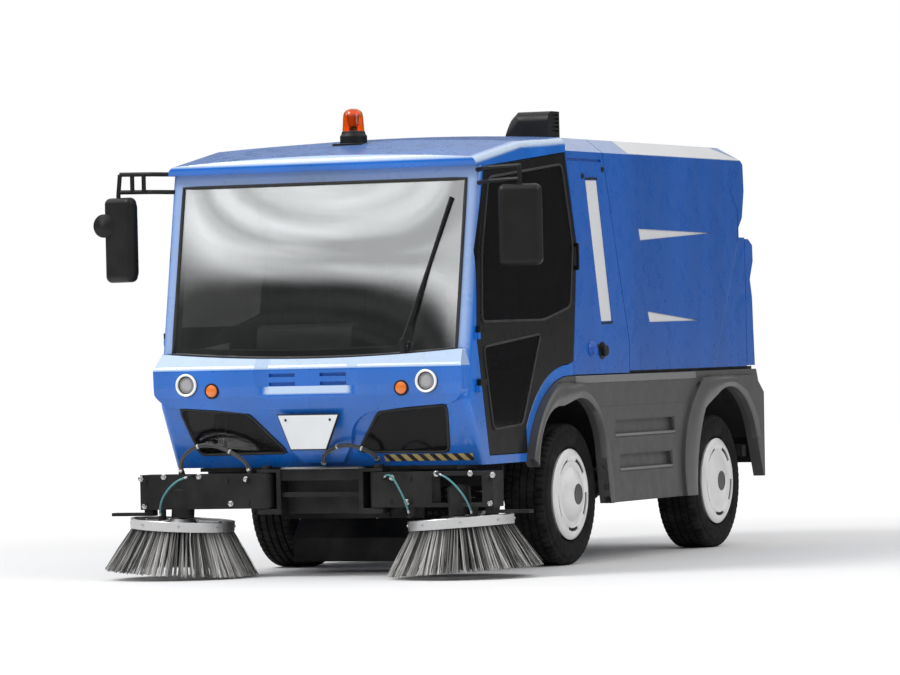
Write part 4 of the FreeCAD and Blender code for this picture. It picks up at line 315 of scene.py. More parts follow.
woven_cloth("seat_cloth", (0.07, 0.07, 0.078))
glass("lamp_lens", (0.93, 0.93, 0.95), 0.04, IOR=1.45)
glass("beacon_amber", (0.95, 0.25, 0.02), 0.12, IOR=1.5)
tyre_rubber("tyre_rubber")
surface("cover_white", (0.72, 0.72, 0.72), 0.36, 0.05, 0.2, Coat_Weight=0.3)
fibre("bristle_fibre")
surface("hose_rubber", (0.05, 0.05, 0.05), 0.45, 0.3, 0.3, (500, 0.0002), radius=0)
surface("spray_tube", (0.06, 0.25, 0.27), 0.3, 0.15, 0.3, (400, 0.0001), radius=0)

# Looks of single nodes and pieces
# Brighter, more azure copy of the body's blue for the cab: painted light for the stronger light on the cab's front,
# with a larger share of painted sky reflection
body_paint("cab_blue_lit", (0.001, 0.118, 0.5), 0.66)
surface("port_blue", (0.002, 0.075, 0.4), 0.35, 0.05, 0.05, radius=0.001)
surface("dash_grey", (0.13, 0.13, 0.132), 0.6, 0.1, 0, (400, 0.0001), radius=0)
# Paler copies of the skirt's grey for the rail with its sills and for the arch mouldings: painted highlight on
# their upper faces and rolled crowns
surface("skirt_rail_highlight", (0.16, 0.16, 0.162), 0.4, 0.04, 0.05, (1100, 0.00008), radius=0)
surface("skirt_roll_highlight", (0.088, 0.088, 0.09), 0.34, 0.04, 0.05, (40, 0.0002), radius=0)
surface("grey_pipe", (0.16, 0.16, 0.165), 0.35, 0.15, 0.1, radius=0, Metallic=0.6)
surface("pale_panel", (0.62, 0.63, 0.65), 0.35, 0.05, 0.1, radius=0.002, Coat_Weight=0.2)
surface("plate_white", (0.66, 0.68, 0.7), 0.4, 0.08, 0.2, radius=0.001)
glass("side_glass", (0.008, 0.008, 0.009), 0.03, Alpha=0.7, IOR=1.3)
surface("cab_lining", (0.085, 0.085, 0.087), 0.7, 0.1, 0.1, (500, 0.0002), radius=0)
surface("glass_border", (0.006, 0.006, 0.006), 0.4, 0.1, 0, radius=0)
surface("dark_cap", (0.06, 0.06, 0.063), 0.4, 0.15, 0.2)
surface("gasket_rubber", (0.012, 0.012, 0.012), 0.6, 0.2, 0.2, (700, 0.0002), radius=0)
glass("red_lens", (0.55, 0.015, 0.012), 0.1, IOR=1.5)
surface("amber_lens", (0.72, 0.17, 0.02), 0.18, 0.15, 0, (300, 0.0002), radius=0, Coat_Weight=0.6)
# Pale, barely metallic bowl: a painted reflection that stands in for the headlamp reflector's bright mirror
Look("lamp_bowl", (0.86, 0.87, 0.88), 0.25, Metallic=0.1)
Look("clear_lens", (0.9, 0.9, 0.92), 0.05, Alpha=0.25, IOR=1.6)
# Near-black sheet of painted shade for the wheel covers' gaps
Look("painted_gap_shade", (0.004, 0.004, 0.004), 0.8)
Look("mirror_glass", (0.75, 0.77, 0.78), 0.03, Metallic=1.0)
hazard_tape("hazard_tape")
surface("white_tie", (0.6, 0.6, 0.58), 0.5, 0.1, 0.2, radius=0)


def dress(mesh, look, angle):
    """Give a mesh its look, smooth apart from the edges that are sharper than an angle."""
    mesh.materials.clear()
    mesh.materials.append(LOOKS[look])
    mesh.shade_smooth()
    mesh.set_sharp_from_angle(angle=math.radians(angle))


for part in frame["record"]["subparts"]:
    dress(frame["nodes"][part["node"]].data, NODE_LOOKS.get(part["node"], part["material_slot"]), 32)


def around(count, start=0.0):
    """Cosine and sine of equal steps round a circle."""
    turns = [2 * math.pi * (i + start) / count for i in range(count)]
    return [(math.cos(a), math.sin(a)) for a in turns]


class Shape:
    """Vertices and faces gathered from simple forms, in the frame's metres."""

    def __init__(self):
        self.points = []
        self.faces = []

    def loft(self, rings, loop=True, caps=True, closed=False):
        """Skin over rings of equal length; loop joins each ring's ends, closed the last ring to the first."""
        start, size = len(self.points), len(rings[0])
        for ring in rings:
            self.points += [Vector(point) for point in ring]
        count = len(rings)
        for i in range(count if closed else count - 1):
            for j in range(size if loop else size - 1):
                a, b = start + i * size, start + (i + 1) % count * size
                k = (j + 1) % size
                self.faces.append((a + j, a + k, b + k, b + j))
        if caps and not closed:
            self.faces.append(tuple(range(start + size - 1, start - 1, -1)))
            last = start + (count - 1) * size
            self.faces.append(tuple(range(last, last + size)))
        return self

    def prism(self, points, depth):
        depth = Vector(depth)
        return self.loft([points, [Vector(point) + depth for point in points]])

    def box(self, low, high):
        (x0, y0, z0), (x1, y1, z1) = at(*low), at(*high)
        ring = [(x0, y0, z0), (x1, y0, z0), (x1, y1, z0), (x0, y1, z0)]
        return self.prism(ring, (0, 0, z1 - z0))

    def turned(self, profile, centre, axis, steps):
        """Profile of radius and distance along the axis, in millimetres, swept round it."""
        turn = Vector((0, 0, 1)).rotation_difference(Vector(axis).normalized())
        rings = []
        for radius, along in profile:
            ring = [Vector((radius * c, radius * s, along)) / 1000 for c, s in around(steps)]
            rings.append([turn @ point + Vector(centre) for point in ring])
        return self.loft(rings)

    def tube(self, points, radius, sides=8, loop=False):
        """Tube along points in the frame's metres; the radius is in millimetres."""
        points = [Vector(point) for point in points]
        across = (points[1] - points[-1 if loop else 0]).orthogonal()
        count = len(points)
        rings = []
        for i, point in enumerate(points):
            before = points[i - 1] if i or loop else point
            after = points[(i + 1) % count] if i < count - 1 or loop else point
            run = (after - before).normalized()
            across = (across - run * across.dot(run)).normalized()
            other = run.cross(across)
            rings.append([point + (across * c + other * s) * radius / 1000 for c, s in around(sides)])
        return self.loft(rings, closed=loop)

    def mesh(self, name, sign=1):
        mesh = bpy.data.meshes.new(name)
        mesh.from_pydata([(sign * p.x, p.y, p.z) for p in self.points], [], self.faces)
        tidy = bmesh.new()
        tidy.from_mesh(mesh)
        bmesh.ops.recalc_face_normals(tidy, faces=tidy.faces)
        tidy.to_mesh(mesh)
        tidy.free()
        return mesh


def linked(name, data):
    """A new object in the scene."""
    obj = bpy.data.objects.new(name, data)
    bpy.context.scene.collection.objects.link(obj)
    return obj


def piece(name, shape, look="trim_black", body="root", hides=(), sign=1, bevel=0.0, smooth=32):
    """A piece of the scene from a shape or a mesh, riding on a body."""
    mesh = shape.mesh(name, sign) if isinstance(shape, Shape) else shape
    obj = linked(name, mesh)
    dress(mesh, look, smooth)
    if bevel:
        edge = obj.modifiers.new("edge", "BEVEL")
        edge.width = bevel / 1000
        edge.segments = 2
        edge.limit_method = "ANGLE"
    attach(obj, body)
    if hides:
        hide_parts(*hides)
    return obj


def pair(name, shape, look="trim_black", body="root", **how):
    """A piece on each side, mirrored on the right; SIDE in the body's name stands for the side."""
    for side, sign in SIDES:
        piece("%s_%s" % (name, side), shape, look, body.replace("SIDE", side), sign=sign, **how)


def camera():
    azimuth, elevation, roll = (math.radians(v) for v in (AZIMUTH, ELEVATION, ROLL))
    flat = math.cos(elevation)
    back = Vector((math.sin(azimuth) * flat, -math.cos(azimuth) * flat, math.sin(elevation)))
    right = Vector((math.cos(azimuth), math.sin(azimuth), 0))
    up = back.cross(right)
    image_x = math.cos(roll) * right + math.sin(roll) * up
    image_y = -math.sin(roll) * right + math.cos(roll) * up
    data = bpy.data.cameras.new("camera")
    data.lens = LENS
    data.sensor_width = SENSOR
    data.shift_x, data.shift_y = SHIFT
    data.clip_end = 200
    eye = linked("camera", data)
    turn = Matrix((image_x, image_y, back)).transposed()
    eye.matrix_world = Matrix.Translation(TARGET + back * DISTANCE) @ turn.to_4x4()
    bpy.context.scene.camera = eye


# Hose routes: the control points of part.py, X, Y and Z
ARM_HOSE = [
    (805, -1372, 574), (806, -1386, 618), (772, -1394, 664), (716, -1398, 704), (646, -1396, 722),
    (566, -1390, 708), (490, -1380, 672), (438, -1368, 634), (418, -1354, 604), (412, -1342, 576),
]
CARRIER_HOSE = [
    (20, -1316, 605), (26, -1340, 640), (66, -1362, 676), (124, -1374, 702), (196, -1376, 708),
    (262, -1370, 690), (308, -1352, 664), (328, -1324, 642), (330, -1300, 622),
]
OUTER_SPRAY = [
    (742, -1430, 548), (780, -1446, 536), (822, -1452, 508), (864, -1452, 466), (896, -1444, 418),
    (912, -1430, 372), (918, -1416, 340),
]
INNER_SPRAY = [
    (404, -1388, 534), (426, -1400, 548), (452, -1416, 544), (478, -1424, 520), (502, -1426, 480),
    (526, -1420, 430), (540, -1408, 380), (546, -1396, 342),
]
HOSES = [
    ("hydraulic_hose_left", CARRIER_HOSE, BUNDLE_DIAMETER, 1, "root", "hose_rubber", 0.430),
    ("hydraulic_hose_right", ARM_HOSE, BUNDLE_DIAMETER, -1, "brush_arm_right", "hose_rubber", 0.541),
    ("spray_hose_left", OUTER_SPRAY, SPRAY_DIAMETER, 1, "brush_arm_left", "spray_tube", 0.296),
    ("spray_hose_right", OUTER_SPRAY, SPRAY_DIAMETER, -1, "brush_arm_right", "spray_tube", 0.296),
    ("spray_hose_inner", INNER_SPRAY, SPRAY_DIAMETER, 1, "brush_arm_left", "spray_tube", 0.289),
]


def line_of(curve):
    """Points along a hose's own smooth line."""
    thin = curve.copy()
    thin.bevel_depth = 0
    bare = bpy.data.objects.new("bare", thin)
    mesh = bpy.data.meshes.new_from_object(bare)
    points = [vertex.co.copy() for vertex in mesh.vertices]
    bpy.data.objects.remove(bare)
    bpy.data.meshes.remove(mesh)
    return points


def bundle(points, diameter):
    """Three hoses that lie side by side along a line, turning slowly round it."""
    tube, offset, twist = diameter * 0.225, diameter * 0.27, 2.2
    across = (points[1] - points[0]).orthogonal().normalized()
    lines = [[], [], []]
    for i, point in enumerate(points):
        run = (points[min(i + 1, len(points) - 1)] - points[max(i - 1, 0)]).normalized()
        across = (across - run * across.dot(run)).normalized()
        other = run.cross(across)
        for strand, line in enumerate(lines):
            a = 2 * math.pi * strand / len(lines) + twist * i / len(points)
            line.append(point + (across * math.cos(a) + other * math.sin(a)) * offset / 1000)
    shape = Shape()
    for line in lines:
        shape.tube(line, tube, 12)
    return shape


def hose_curve(name, route, diameter, sign, slot):
    """A hose as a smooth curve through the neighbourhood of its control points."""
    curve = bpy.data.curves.new(name + "_line", "CURVE")
    curve.dimensions = "3D"
    curve.resolution_u = 16
    curve.bevel_depth = diameter / 2000
    curve.bevel_resolution = 4
    curve.use_fill_caps = True
    spline = curve.splines.new("NURBS")
    spline.points.add(len(route) - 1)
    for point, (x, y, z) in zip(spline.points, route):
        point.co = (*at(sign * x, y, z), 1)
    spline.order_u = 3
    spline.use_endpoint_u = True
    curve.materials.append(LOOKS[slot])
    return curve


def make_hoses():
    """Spray hoses as curves and bundles with ties, each with a ferrule at both ends."""
    for name, route, diameter, sign, body, slot, length in HOSES:
        curve = hose_curve(name, route, diameter, sign, slot)
        points = line_of(curve)
        if diameter == BUNDLE_DIAMETER:
            obj = piece(name + "_bundle", bundle(points, diameter), slot, body, (name,), smooth=60)
            ties = Shape()
            for share in (0.36, 0.66):
                i = int(share * (len(points) - 1))
                run = points[i + 1] - points[i]
                ties.turned([(11.4, -4), (13.0, -4), (13.0, 4), (11.4, 4)], points[i], run, 20)
            piece(name + "_ties", ties, "white_tie", body)
        else:
            obj = linked(name + "_line", curve)
            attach(obj, body)
            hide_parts(name)
        ends = Shape()
        ferrule = [(0, -16), (diameter * 0.66, -16), (diameter * 0.7, -4), (diameter * 0.56, 2), (0, 2)]
        for a, b in ((points[0], points[3]), (points[-1], points[-4])):
            out = (a - b).normalized()
            ends.turned(ferrule, a - out * 0.001, out, 6)
        piece(name + "_ferrules", ends, "bright_steel", body, bevel=0.6)


def windshield_y(z):
    """Face of the cab's front between the belt and the brow."""
    return NOSE_Y + 46 + (z - BELT_Z) * WINDSHIELD_SLOPE


def nose_y(z):
    """Face of the cab's front below its fold."""
    return NOSE_Y + NOSE_DEPTH * (1 - (z - FLOOR_Z) / NOSE_HEIGHT)


def skin_x(y):
    """Half width of the cab at a place along it."""
    start = NOSE_Y - 75
    share = min(1.0, (y - start) / (ARCH_Y - start))
    return FRONT_HALF_WIDTH + (HALF_WIDTH - FRONT_HALF_WIDTH) * share


def line_cab():
    """Dark lining on the faces inside the cab."""
    side_skin, front_skin, back_skin, top_z = 24, 22, 20, 2262
    roof_slope, roof_z = 0.2, 2.1

    def inside(place):
        x, y, z = place.x * 1000, (place.y - AXLE_Y) * 1000, place.z * 1000
        front = windshield_y(z) if z > BELT_Z else nose_y(z)
        past_arch = math.hypot(y - ARCH_Y, z - ARCH_Z) > ARCH_LINER_RADIUS
        return (past_arch and abs(x) < skin_x(y) - side_skin and front + front_skin < y < CAB_BACK_Y - back_skin
                and FLOOR_Z + 20 < z < top_z)

    for name in ("cab_shell", "cab_roof"):
        mesh = frame["nodes"][name].data
        mesh.materials.append(LOOKS["cab_lining"])
        for face in mesh.polygons:
            outer_roof = face.normal.z > roof_slope and face.center.z > roof_z
            if inside(face.center) and not outer_roof:
                face.material_index = 1


def rounded_loop(corners, radius, steps=5):
    """Closed run of points with rounded corners, from corners in two coordinates."""
    points = []
    count = len(corners)
    for i in range(count):
        before, here, after = (Vector(corners[(i + k) % count]) for k in (-1, 0, 1))
        reach = min(radius, (before - here).length * 0.45, (after - here).length * 0.45)
        a = here + (before - here).normalized() * reach
        b = here + (after - here).normalized() * reach
        for k in range(steps + 1):
            t = k / steps
            points.append(a * (1 - t) ** 2 + here * 2 * t * (1 - t) + b * t * t)
    return points


DOOR_WINDOW = [
    (NOSE_Y + 207, BELT_Z + 137), (NOSE_Y + 225, 1722.7), (NOSE_Y + 327, ROOF_REAR_Z - 166),
    (CAB_BACK_Y - 236, ROOF_REAR_Z - 78), (CAB_BACK_Y - 106, WAIST_Z), (CAB_BACK_Y - 156, BELT_Z + 212),
    (CAB_BACK_Y - 510, BELT_Z + 142),
]
DOOR_PANE = [
    (NOSE_Y + 220, BELT_Z + 4), (CAB_BACK_Y - 560, BELT_Z + 67), (ARCH_Y - 626, FLOOR_Z + 200),
    (NOSE_Y + 323, FLOOR_Z + 180),
]
LOWER_WINDOW = [(786.4, DECK_Z - 130), (386.4, DECK_Z - 160), (206.3, FLOOR_Z + 78), (734.9, FLOOR_Z + 72)]
GLASS_EDGE_X = FRONT_HALF_WIDTH - 70
SCREEN_TOP_Z = ROOF_FRONT_Z - 72
SCREEN_SAG = 34
SCREEN_BULGE = (9, 14)
BORDER = 38


def screen_point(u, v, lift):
    """Point on the curved windshield; u runs from -1 to 1 across it and v from 0 to 1 up it."""
    low = BELT_Z - SCREEN_SAG * (1 - u * u)
    z = low + v * (SCREEN_TOP_Z - low)
    bulge = (1 - u * u) * (SCREEN_BULGE[0] + SCREEN_BULGE[1] * 4 * v * (1 - v))
    return at(u * GLASS_EDGE_X, windshield_y(z) - bulge - lift, z)


def screen_loop(inset, lift):
    """Closed run of points round the windshield, a distance in from its edge."""
    across, up = 24, 10
    side, level = 1 - inset / GLASS_EDGE_X, inset / (SCREEN_TOP_Z - BELT_Z)
    rise = 1 - 2 * level
    points = [screen_point(side * (2 * i / across - 1), level, lift) for i in range(across)]
    points += [screen_point(side, level + rise * j / up, lift) for j in range(up)]
    points += [screen_point(side * (1 - 2 * i / across), 1 - level, lift) for i in range(across)]
    return points + [screen_point(-side, 1 - level - rise * j / up, lift) for j in range(up)]


def make_cab_glass():
    """Windshield with its border, lower panes, and gaskets round these and the doors' panes."""
    columns, rows = 28, 14
    width = columns + 1
    screen = Shape()
    for lift in (0.5, -5.5):
        grid = [[screen_point(2 * i / columns - 1, j / rows, lift) for i in range(width)] for j in range(rows + 1)]
        screen.loft(grid, loop=False, caps=False)
    rim = [j * width for j in range(rows + 1)]
    rim += [rows * width + i for i in range(1, width)]
    rim += [j * width + columns for j in range(rows - 1, -1, -1)]
    rim += range(columns - 1, 0, -1)
    skin = width * (rows + 1)
    screen.faces += [(a, b, b + skin, a + skin) for a, b in zip(rim, rim[1:] + rim[:1])]
    piece("windshield", screen, "window_glass", hides=("cab_glass",), smooth=20)
    border = [screen_loop(inset, lift) for inset, lift in ((2, -7), (BORDER, -7), (BORDER, -8), (2, -8))]
    panes, edge = Shape(), Shape()
    edge.tube(screen_loop(0, 3), 9, loop=True)
    for sign in (-1, 1):
        panes.prism([at(sign * x, nose_y(z) - 0.5, z) for x, z in LOWER_WINDOW], (0, 0.0055, 0))
        loop = rounded_loop(LOWER_WINDOW, 40)
        edge.tube([at(sign * x, nose_y(z) - 2, z) for x, z in loop], 8, loop=True)
    piece("lower_panes", panes, "side_glass", hides=("cab_glass",), smooth=20)
    piece("windshield_border", Shape().loft(border, caps=False, closed=True), "glass_border", smooth=60)
    piece("cab_gaskets", edge, "gasket_rubber")
    seal = Shape()
    for corners, radius in ((DOOR_WINDOW, 45), (DOOR_PANE, 40)):
        seal.tube([at(skin_x(y) + 1, y, z) for y, z in rounded_loop(corners, radius)], 7, loop=True)
    pair("door_gaskets", seal, "gasket_rubber", "door_SIDE")


# Half of a tyre's section, as radius and distance from its middle
TYRE_HALF = [
    (222, 88), (232, 93), (246, 97), (262, 112), (266, 118), (292, 125.5), (306, 126.2), (332, 125.4),
    (346, 123.8), (350, 119.5), (360, 118), (366, 116), (377, 114), (385, 106), (389, 97), (390, 88), (390, 73),
    (378, 70), (378, 62), (389.6, 59), (389.8, 28), (378, 25), (378, 18), (389.8, 15), (390, 0),
]
# Cuts in its tread: radius and distance from the middle that bound each, third of the block and depth
TREAD_CUTS = [
    (384, 400, 66, 130, 0, 9), (379, 400, 66, 130, 0, 7), (388, 400, 27, 60, 1, 5), (388, 400, -1, 16, 2, 4),
    (372, 379, 100, 130, 0, 4),
]
HUB_CAP = [(0, -4), (56, -4), (58, 0), (56, 3), (49, 4.5), (46, 2), (0, 3.5)]
# Near-black ring of painted shade laid in the gap of each wheel cover
COVER_GAP_SHADE = [(187, -8), (203, -8), (203, 6), (187, 4)]


def make_wheels():
    """Tyres with ribs, notched shoulders and sipes, the dark caps of the wheel covers, and near-black rings of
    painted shade in their gaps.
    """
    section = [(r, -x) for r, x in TYRE_HALF] + [(r, x) for r, x in reversed(TYRE_HALF[:-1])]
    blocks, columns = 62, 6
    rings = []
    for i, (c, s) in enumerate(around(blocks * columns)):
        third = i % columns // 2
        ring = []
        for r, x in section:
            cuts = [depth for low, high, inner, outer, place, depth in TREAD_CUTS
                    if low < r < high and inner < abs(x) < outer and place == third]
            r -= cuts[0] if cuts else 0
            ring.append(Vector((x, r * c, r * s)) / 1000)
        rings.append(ring)
    tyre = Shape().loft(rings, loop=False, closed=True).mesh("tyre")
    dress(tyre, "tyre_rubber", 28)
    face = WHEEL_X + 122
    for place, y, dome in (("front", 0, 46), ("rear", WHEELBASE, 26)):
        for side, sign in SIDES:
            body = "%s_wheel_%s" % (place, side)
            name = "%s_%s" % (place, side)
            obj = linked("tyre_tread_" + name, tyre)
            obj.location = at(sign * WHEEL_X, y, TYRE_RADIUS)
            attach(obj, body)
            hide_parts("tyre_" + name)
            for kind, look, profile, x, steps in (
                ("hub_cap_", "dark_cap", HUB_CAP, face + dome, 40),
                ("cover_gap_shade_", "painted_gap_shade", COVER_GAP_SHADE, face, 96),
            ):
                ring = Shape().turned(profile, at(sign * x, y, TYRE_RADIUS), (sign, 0, 0), steps)
                piece(kind + name, ring, look, body)


FIBRE_STEPS, FIBRE_SIDES = 4, 3


def brush_way(across, along):
    """Direction in the plane of a brush's disc, from its parts on the disc's two axes."""
    return BRUSH_ACROSS * across + Vector((0, 1, 0)) * along


def bend_fibre(draw, heading, lean, clump_tone, phase):
    """Points of one fibre's rings, from its foot to its tip, with its tone and each point's painted shade."""
    inner_foot, outer_foot, inner_tip, outer_tip, ground = 217, 267, 330, 423.0, 5
    tip_z = -(BRUSH[2] - ground - math.sin(TILT) * outer_tip) / math.cos(TILT)
    row = draw.random()
    foot_r = inner_foot + (outer_foot - inner_foot) * row
    tip_r = inner_tip + (outer_tip - inner_tip) * row * draw.uniform(0.86, 1.0) + draw.uniform(-6, 0)
    foot_a = heading + draw.uniform(-0.014, 0.014)
    tip_a = heading + lean + draw.uniform(-0.021, 0.021)
    low = tip_z + draw.uniform(0, 16) * (1.6 if draw.random() < 0.12 else 0.6)
    bow = draw.uniform(-9, 12)
    width = draw.uniform(1.6, 2.7)
    tone = min(1.0, max(0.0, 1.05 * clump_tone ** 1.6 + 0.4 * draw.random() - 0.14))
    points, painted_shades = [], []
    for step in range(FIBRE_STEPS + 1):
        t = step / FIBRE_STEPS
        radius = foot_r + (tip_r - foot_r) * t ** 1.12 + bow * math.sin(math.pi * t)
        angle = foot_a + (tip_a - foot_a) * t
        height = -8 + (low + 8) * t
        thin = width * (1 - 0.35 * t)
        for corner in range(FIBRE_SIDES):
            turn = 2 * math.pi * corner / FIBRE_SIDES + phase
            r = radius + thin * math.cos(turn)
            a = angle + thin * math.sin(turn) / radius
            flat = brush_way(r * math.cos(a), r * math.sin(a))
            points.append(at(*BRUSH) + (flat + BRUSH_UP * height) / 1000)
            # Painted shade: darker at the fibre's foot under the disc, and darker on the inner rows
            painted_shades.append(min(1.0, 0.08 + 2.4 * t) * (0.35 + 0.65 * row))
    return points, tone, painted_shades


def make_bristles():
    """Clumps of stiff fibres that splay from each disc to the road."""
    clumps, strands = 132, 19
    for side, sign in SIDES:
        draw = random.Random(11 if sign > 0 else 12)
        points, faces, tones, painted_shades = [], [], [], []
        for clump in range(clumps):
            heading = 2 * math.pi * clump / clumps + draw.uniform(-0.02, 0.02)
            clump_tone = draw.random()
            lean = draw.uniform(-0.03, 0.03)
            for strand in range(strands):
                first = len(points)
                fibre_points, tone, fibre_shades = bend_fibre(draw, heading, lean, clump_tone, strand)
                points += fibre_points
                tones += [tone] * len(fibre_points)
                painted_shades += fibre_shades
                for start in range(first, len(points) - FIBRE_SIDES, FIBRE_SIDES):
                    for corner in range(FIBRE_SIDES):
                        a, b = start + corner, start + (corner + 1) % FIBRE_SIDES
                        faces.append((a, b, b + FIBRE_SIDES, a + FIBRE_SIDES))
                faces.append(tuple(range(len(points) - FIBRE_SIDES, len(points))))
        mesh = bpy.data.meshes.new("fibres_" + side)
        mesh.from_pydata([(sign * p.x, p.y, p.z) for p in points], [], faces)
        for name, values in (("tone", tones), ("depth", painted_shades)):
            mesh.attributes.new(name, "FLOAT", "POINT").data.foreach_set("value", values)
        piece("fibres_" + side, mesh, "bristle_fibre", "brush_" + side, ("bristles_" + side,), smooth=60)


def make_brush_details():
    """Bands and bolts of the discs, and bolts of the arms."""
    centre = at(*BRUSH)
    bolts, hoop, arm = Shape(), Shape(), Shape()
    for c, s in around(10, 0.3):
        spot = centre + brush_way(c, s) * 0.245 + BRUSH_UP * 0.014
        bolts.turned([(0, 0), (9, 0), (9, 7), (0, 8)], spot, BRUSH_UP, 6)
    band = ((277.3, -20), (280, -21), (281.5, -18), (281.5, 25), (283, 29), (281, 32), (277.3, 31))
    hoop.loft([[centre + (brush_way(c, s) * radius + BRUSH_UP * height) / 1000 for radius, height in band]
               for c, s in around(72)], closed=True)
    for c, s in around(8, 0.5):
        out = brush_way(c, s)
        hoop.turned([(0, 0), (7, 0), (7, 5), (0, 6)], centre + out * 0.281 + BRUSH_UP * 0.006, out, 6)
    arm_bolt = [(0, 0), (17, 0), (17, 3), (12, 4), (12, 14), (0, 16)]
    for x, z in ((1036, 540), (1018, 392), (903, 549), (700, 549), (430, 530), (520, 400)):
        arm.turned(arm_bolt, at(x, -1343 - 62 * (x - 330) / 710, z), FORWARD, 6)
    pair("brush_band", hoop, "bright_steel", "brush_SIDE")
    pair("brush_bolts", bolts, "bright_steel", "brush_SIDE", bevel=0.6)
    pair("arm_bolts", arm, "bright_steel", "brush_arm_SIDE", bevel=0.8)


def drawn_in(polygon, amount):
    """Outline drawn in towards its middle."""
    middle = sum((Vector(p) for p in polygon), Vector((0, 0))) / len(polygon)
    result = []
    for point in polygon:
        out = Vector(point) - middle
        result.append(tuple(middle + out * (1 - amount / out.length)))
    return result


def side_plate(shape, outline, inset):
    """Add a plate of 4 mm to a shape, at an inset from the body's left side."""
    return shape.prism([at(HALF_WIDTH - inset, y, z) for y, z in outline], (0.004, 0, 0))


def load_z(share):
    """Height at a share of the hopper's side."""
    return HOPPER_BASE_Z + share * (ROOF_TOP_Z - HOPPER_BASE_Z)


def make_body_trim():
    """Pale bands, hatches, knobs and filler port of the sides, the number plate and the warning tape."""
    chamfer = [(802, 0.97), (2305, 0.97), (2600, 0.03), (832, 0.03)]
    bands = Shape().prism([at(HALF_WIDTH - 90 * share, y, ROOF_TOP_Z - 77 * (1 - share)) for y, share in chamfer],
                          (0.0012, 0, 0.0014))
    for arrow in (((175, 0.618), (196, 0.5665), (1334, 0.607)), ((285, 0.2566), (316, 0.2087), (1099, 0.2125))):
        side_plate(bands, drawn_in([(HOPPER_FRONT_Y + y, load_z(share)) for y, share in arrow], 4), 11)
    pair("hopper_bands", bands, "pale_panel", "hopper", smooth=20)
    back = CAB_BACK_Y
    recess = [(back + 97, 2128.2), (back + 273, 2131.4), (back + 457, BELT_Z + 120), (back + 291, BELT_Z + 117)]
    pair("hatch_strip", side_plate(Shape(), drawn_in(recess, 12), 10), "pale_panel", smooth=20)
    knobs = Shape()
    for y, z in ((back + 235, BELT_Z - 12), (back + 350, ROOF_REAR_Z - 96), (back + 60, 2140)):
        knobs.turned([(0, -1), (16, -1), (16, 4), (12, 7), (0, 7)], at(HALF_WIDTH, y, z), OUTWARD, 24)
    piece("hatch_knobs_right", knobs, sign=-1)
    knobs.turned([(0, 1), (48, 1), (48, 5), (33, 7), (33, 26), (27, 32), (0, 32)],
                 at(HALF_WIDTH, back + 289, BELT_Z - 33), OUTWARD, 40)
    piece("hatch_knobs_left", knobs)
    port = Shape().turned([(0, -1), (44, -1), (44, 5), (36, 12), (30, 26), (22, 31), (0, 31)],
                          at(HALF_WIDTH, back + 130, BELT_Z - 22), OUTWARD, 40)
    piece("filler_port", port, "port_blue")
    lips = Shape()
    for (y0, z0), (y1, z1) in ((recess[0], recess[1]), (recess[3], recess[2])):
        corners = ((y0, z0 - 5), (y1, z1 - 5), (y1, z1 + 5), (y0, z0 + 5))
        lips.prism([at(HALF_WIDTH - 4, y, z) for y, z in corners], (0.006, 0, 0))
    pair("hatch_lips", lips, bevel=1)
    plate = [(-176, 870), (176, 870), (102, 690), (-102, 690)]
    number = Shape().prism([at(x, -1468, z) for x, z in plate], (0, 0.004, 0))
    piece("number_plate", number, "plate_white", bevel=1)
    holder = Shape().prism([at(x * 1.05, -1463, 780 + (z - 780) * 1.07) for x, z in plate], (0, 0.010, 0))
    holder.box((-60, -1455, 760), (60, -1350, 800))
    for x in (-130, 130):
        holder.turned([(0, 0), (7, 0), (7, 3), (0, 4)], at(x, -1468, 845), FORWARD, 12)
    piece("plate_holder", holder, bevel=1.5)
    x0, x1, z0, z1 = 350, 866, FLOOR_Z + 26, FLOOR_Z + 62
    ring = [at(x, nose_y(z) - 0.5, z) for x, z in ((x0, z0), (x1, z0), (x1, z1), (x0, z1))]
    piece("hazard_tape", Shape().prism(ring, (0, -0.0012, -0.0007)), "hazard_tape", smooth=10)


def three_point_arc(a, middle, b, count):
    """Points on the circle through three places, from the first to the last."""
    (ax, ay), (mx, my), (bx, by) = a, middle, b
    d = 2 * (ax * (my - by) + mx * (by - ay) + bx * (ay - my))
    squares = [x * x + y * y for x, y in (a, middle, b)]
    cx = (squares[0] * (my - by) + squares[1] * (by - ay) + squares[2] * (ay - my)) / d
    cy = (squares[0] * (bx - mx) + squares[1] * (ax - bx) + squares[2] * (mx - ax)) / d
    radius = math.hypot(ax - cx, ay - cy)
    angles = [math.atan2(y - cy, x - cx) for x, y in (a, middle, b)]
    for i in (1, 2):
        while angles[i] - angles[i - 1] > math.pi:
            angles[i] -= 2 * math.pi
        while angles[i] - angles[i - 1] < -math.pi:
            angles[i] += 2 * math.pi
    turns = [angles[0] + (angles[2] - angles[0]) * i / count for i in range(count + 1)]
    return [(cx + radius * math.cos(t), cy + radius * math.sin(t)) for t in turns]


def spaced(line, count):
    """The line's points, set out again at equal steps along it."""
    runs = [0.0]
    for a, b in zip(line, line[1:]):
        runs.append(runs[-1] + math.dist(a, b))
    points, k = [], 0
    for i in range(count):
        want = runs[-1] * i / (count - 1)
        while k < len(runs) - 2 and runs[k + 1] < want:
            k += 1
        share = (want - runs[k]) / (runs[k + 1] - runs[k])
        points.append([line[k][j] + share * (line[k + 1][j] - line[k][j]) for j in range(2)])
    return points


def front_arch(radius, angle):
    """Place round the front arch's middle."""
    turn = math.radians(angle)
    return ARCH_Y + radius * math.cos(turn), ARCH_Z + radius * math.sin(turn)


def rear_arch(dy, dz):
    """Place from the rear axle."""
    return WHEELBASE + dy, TYRE_RADIUS + dz


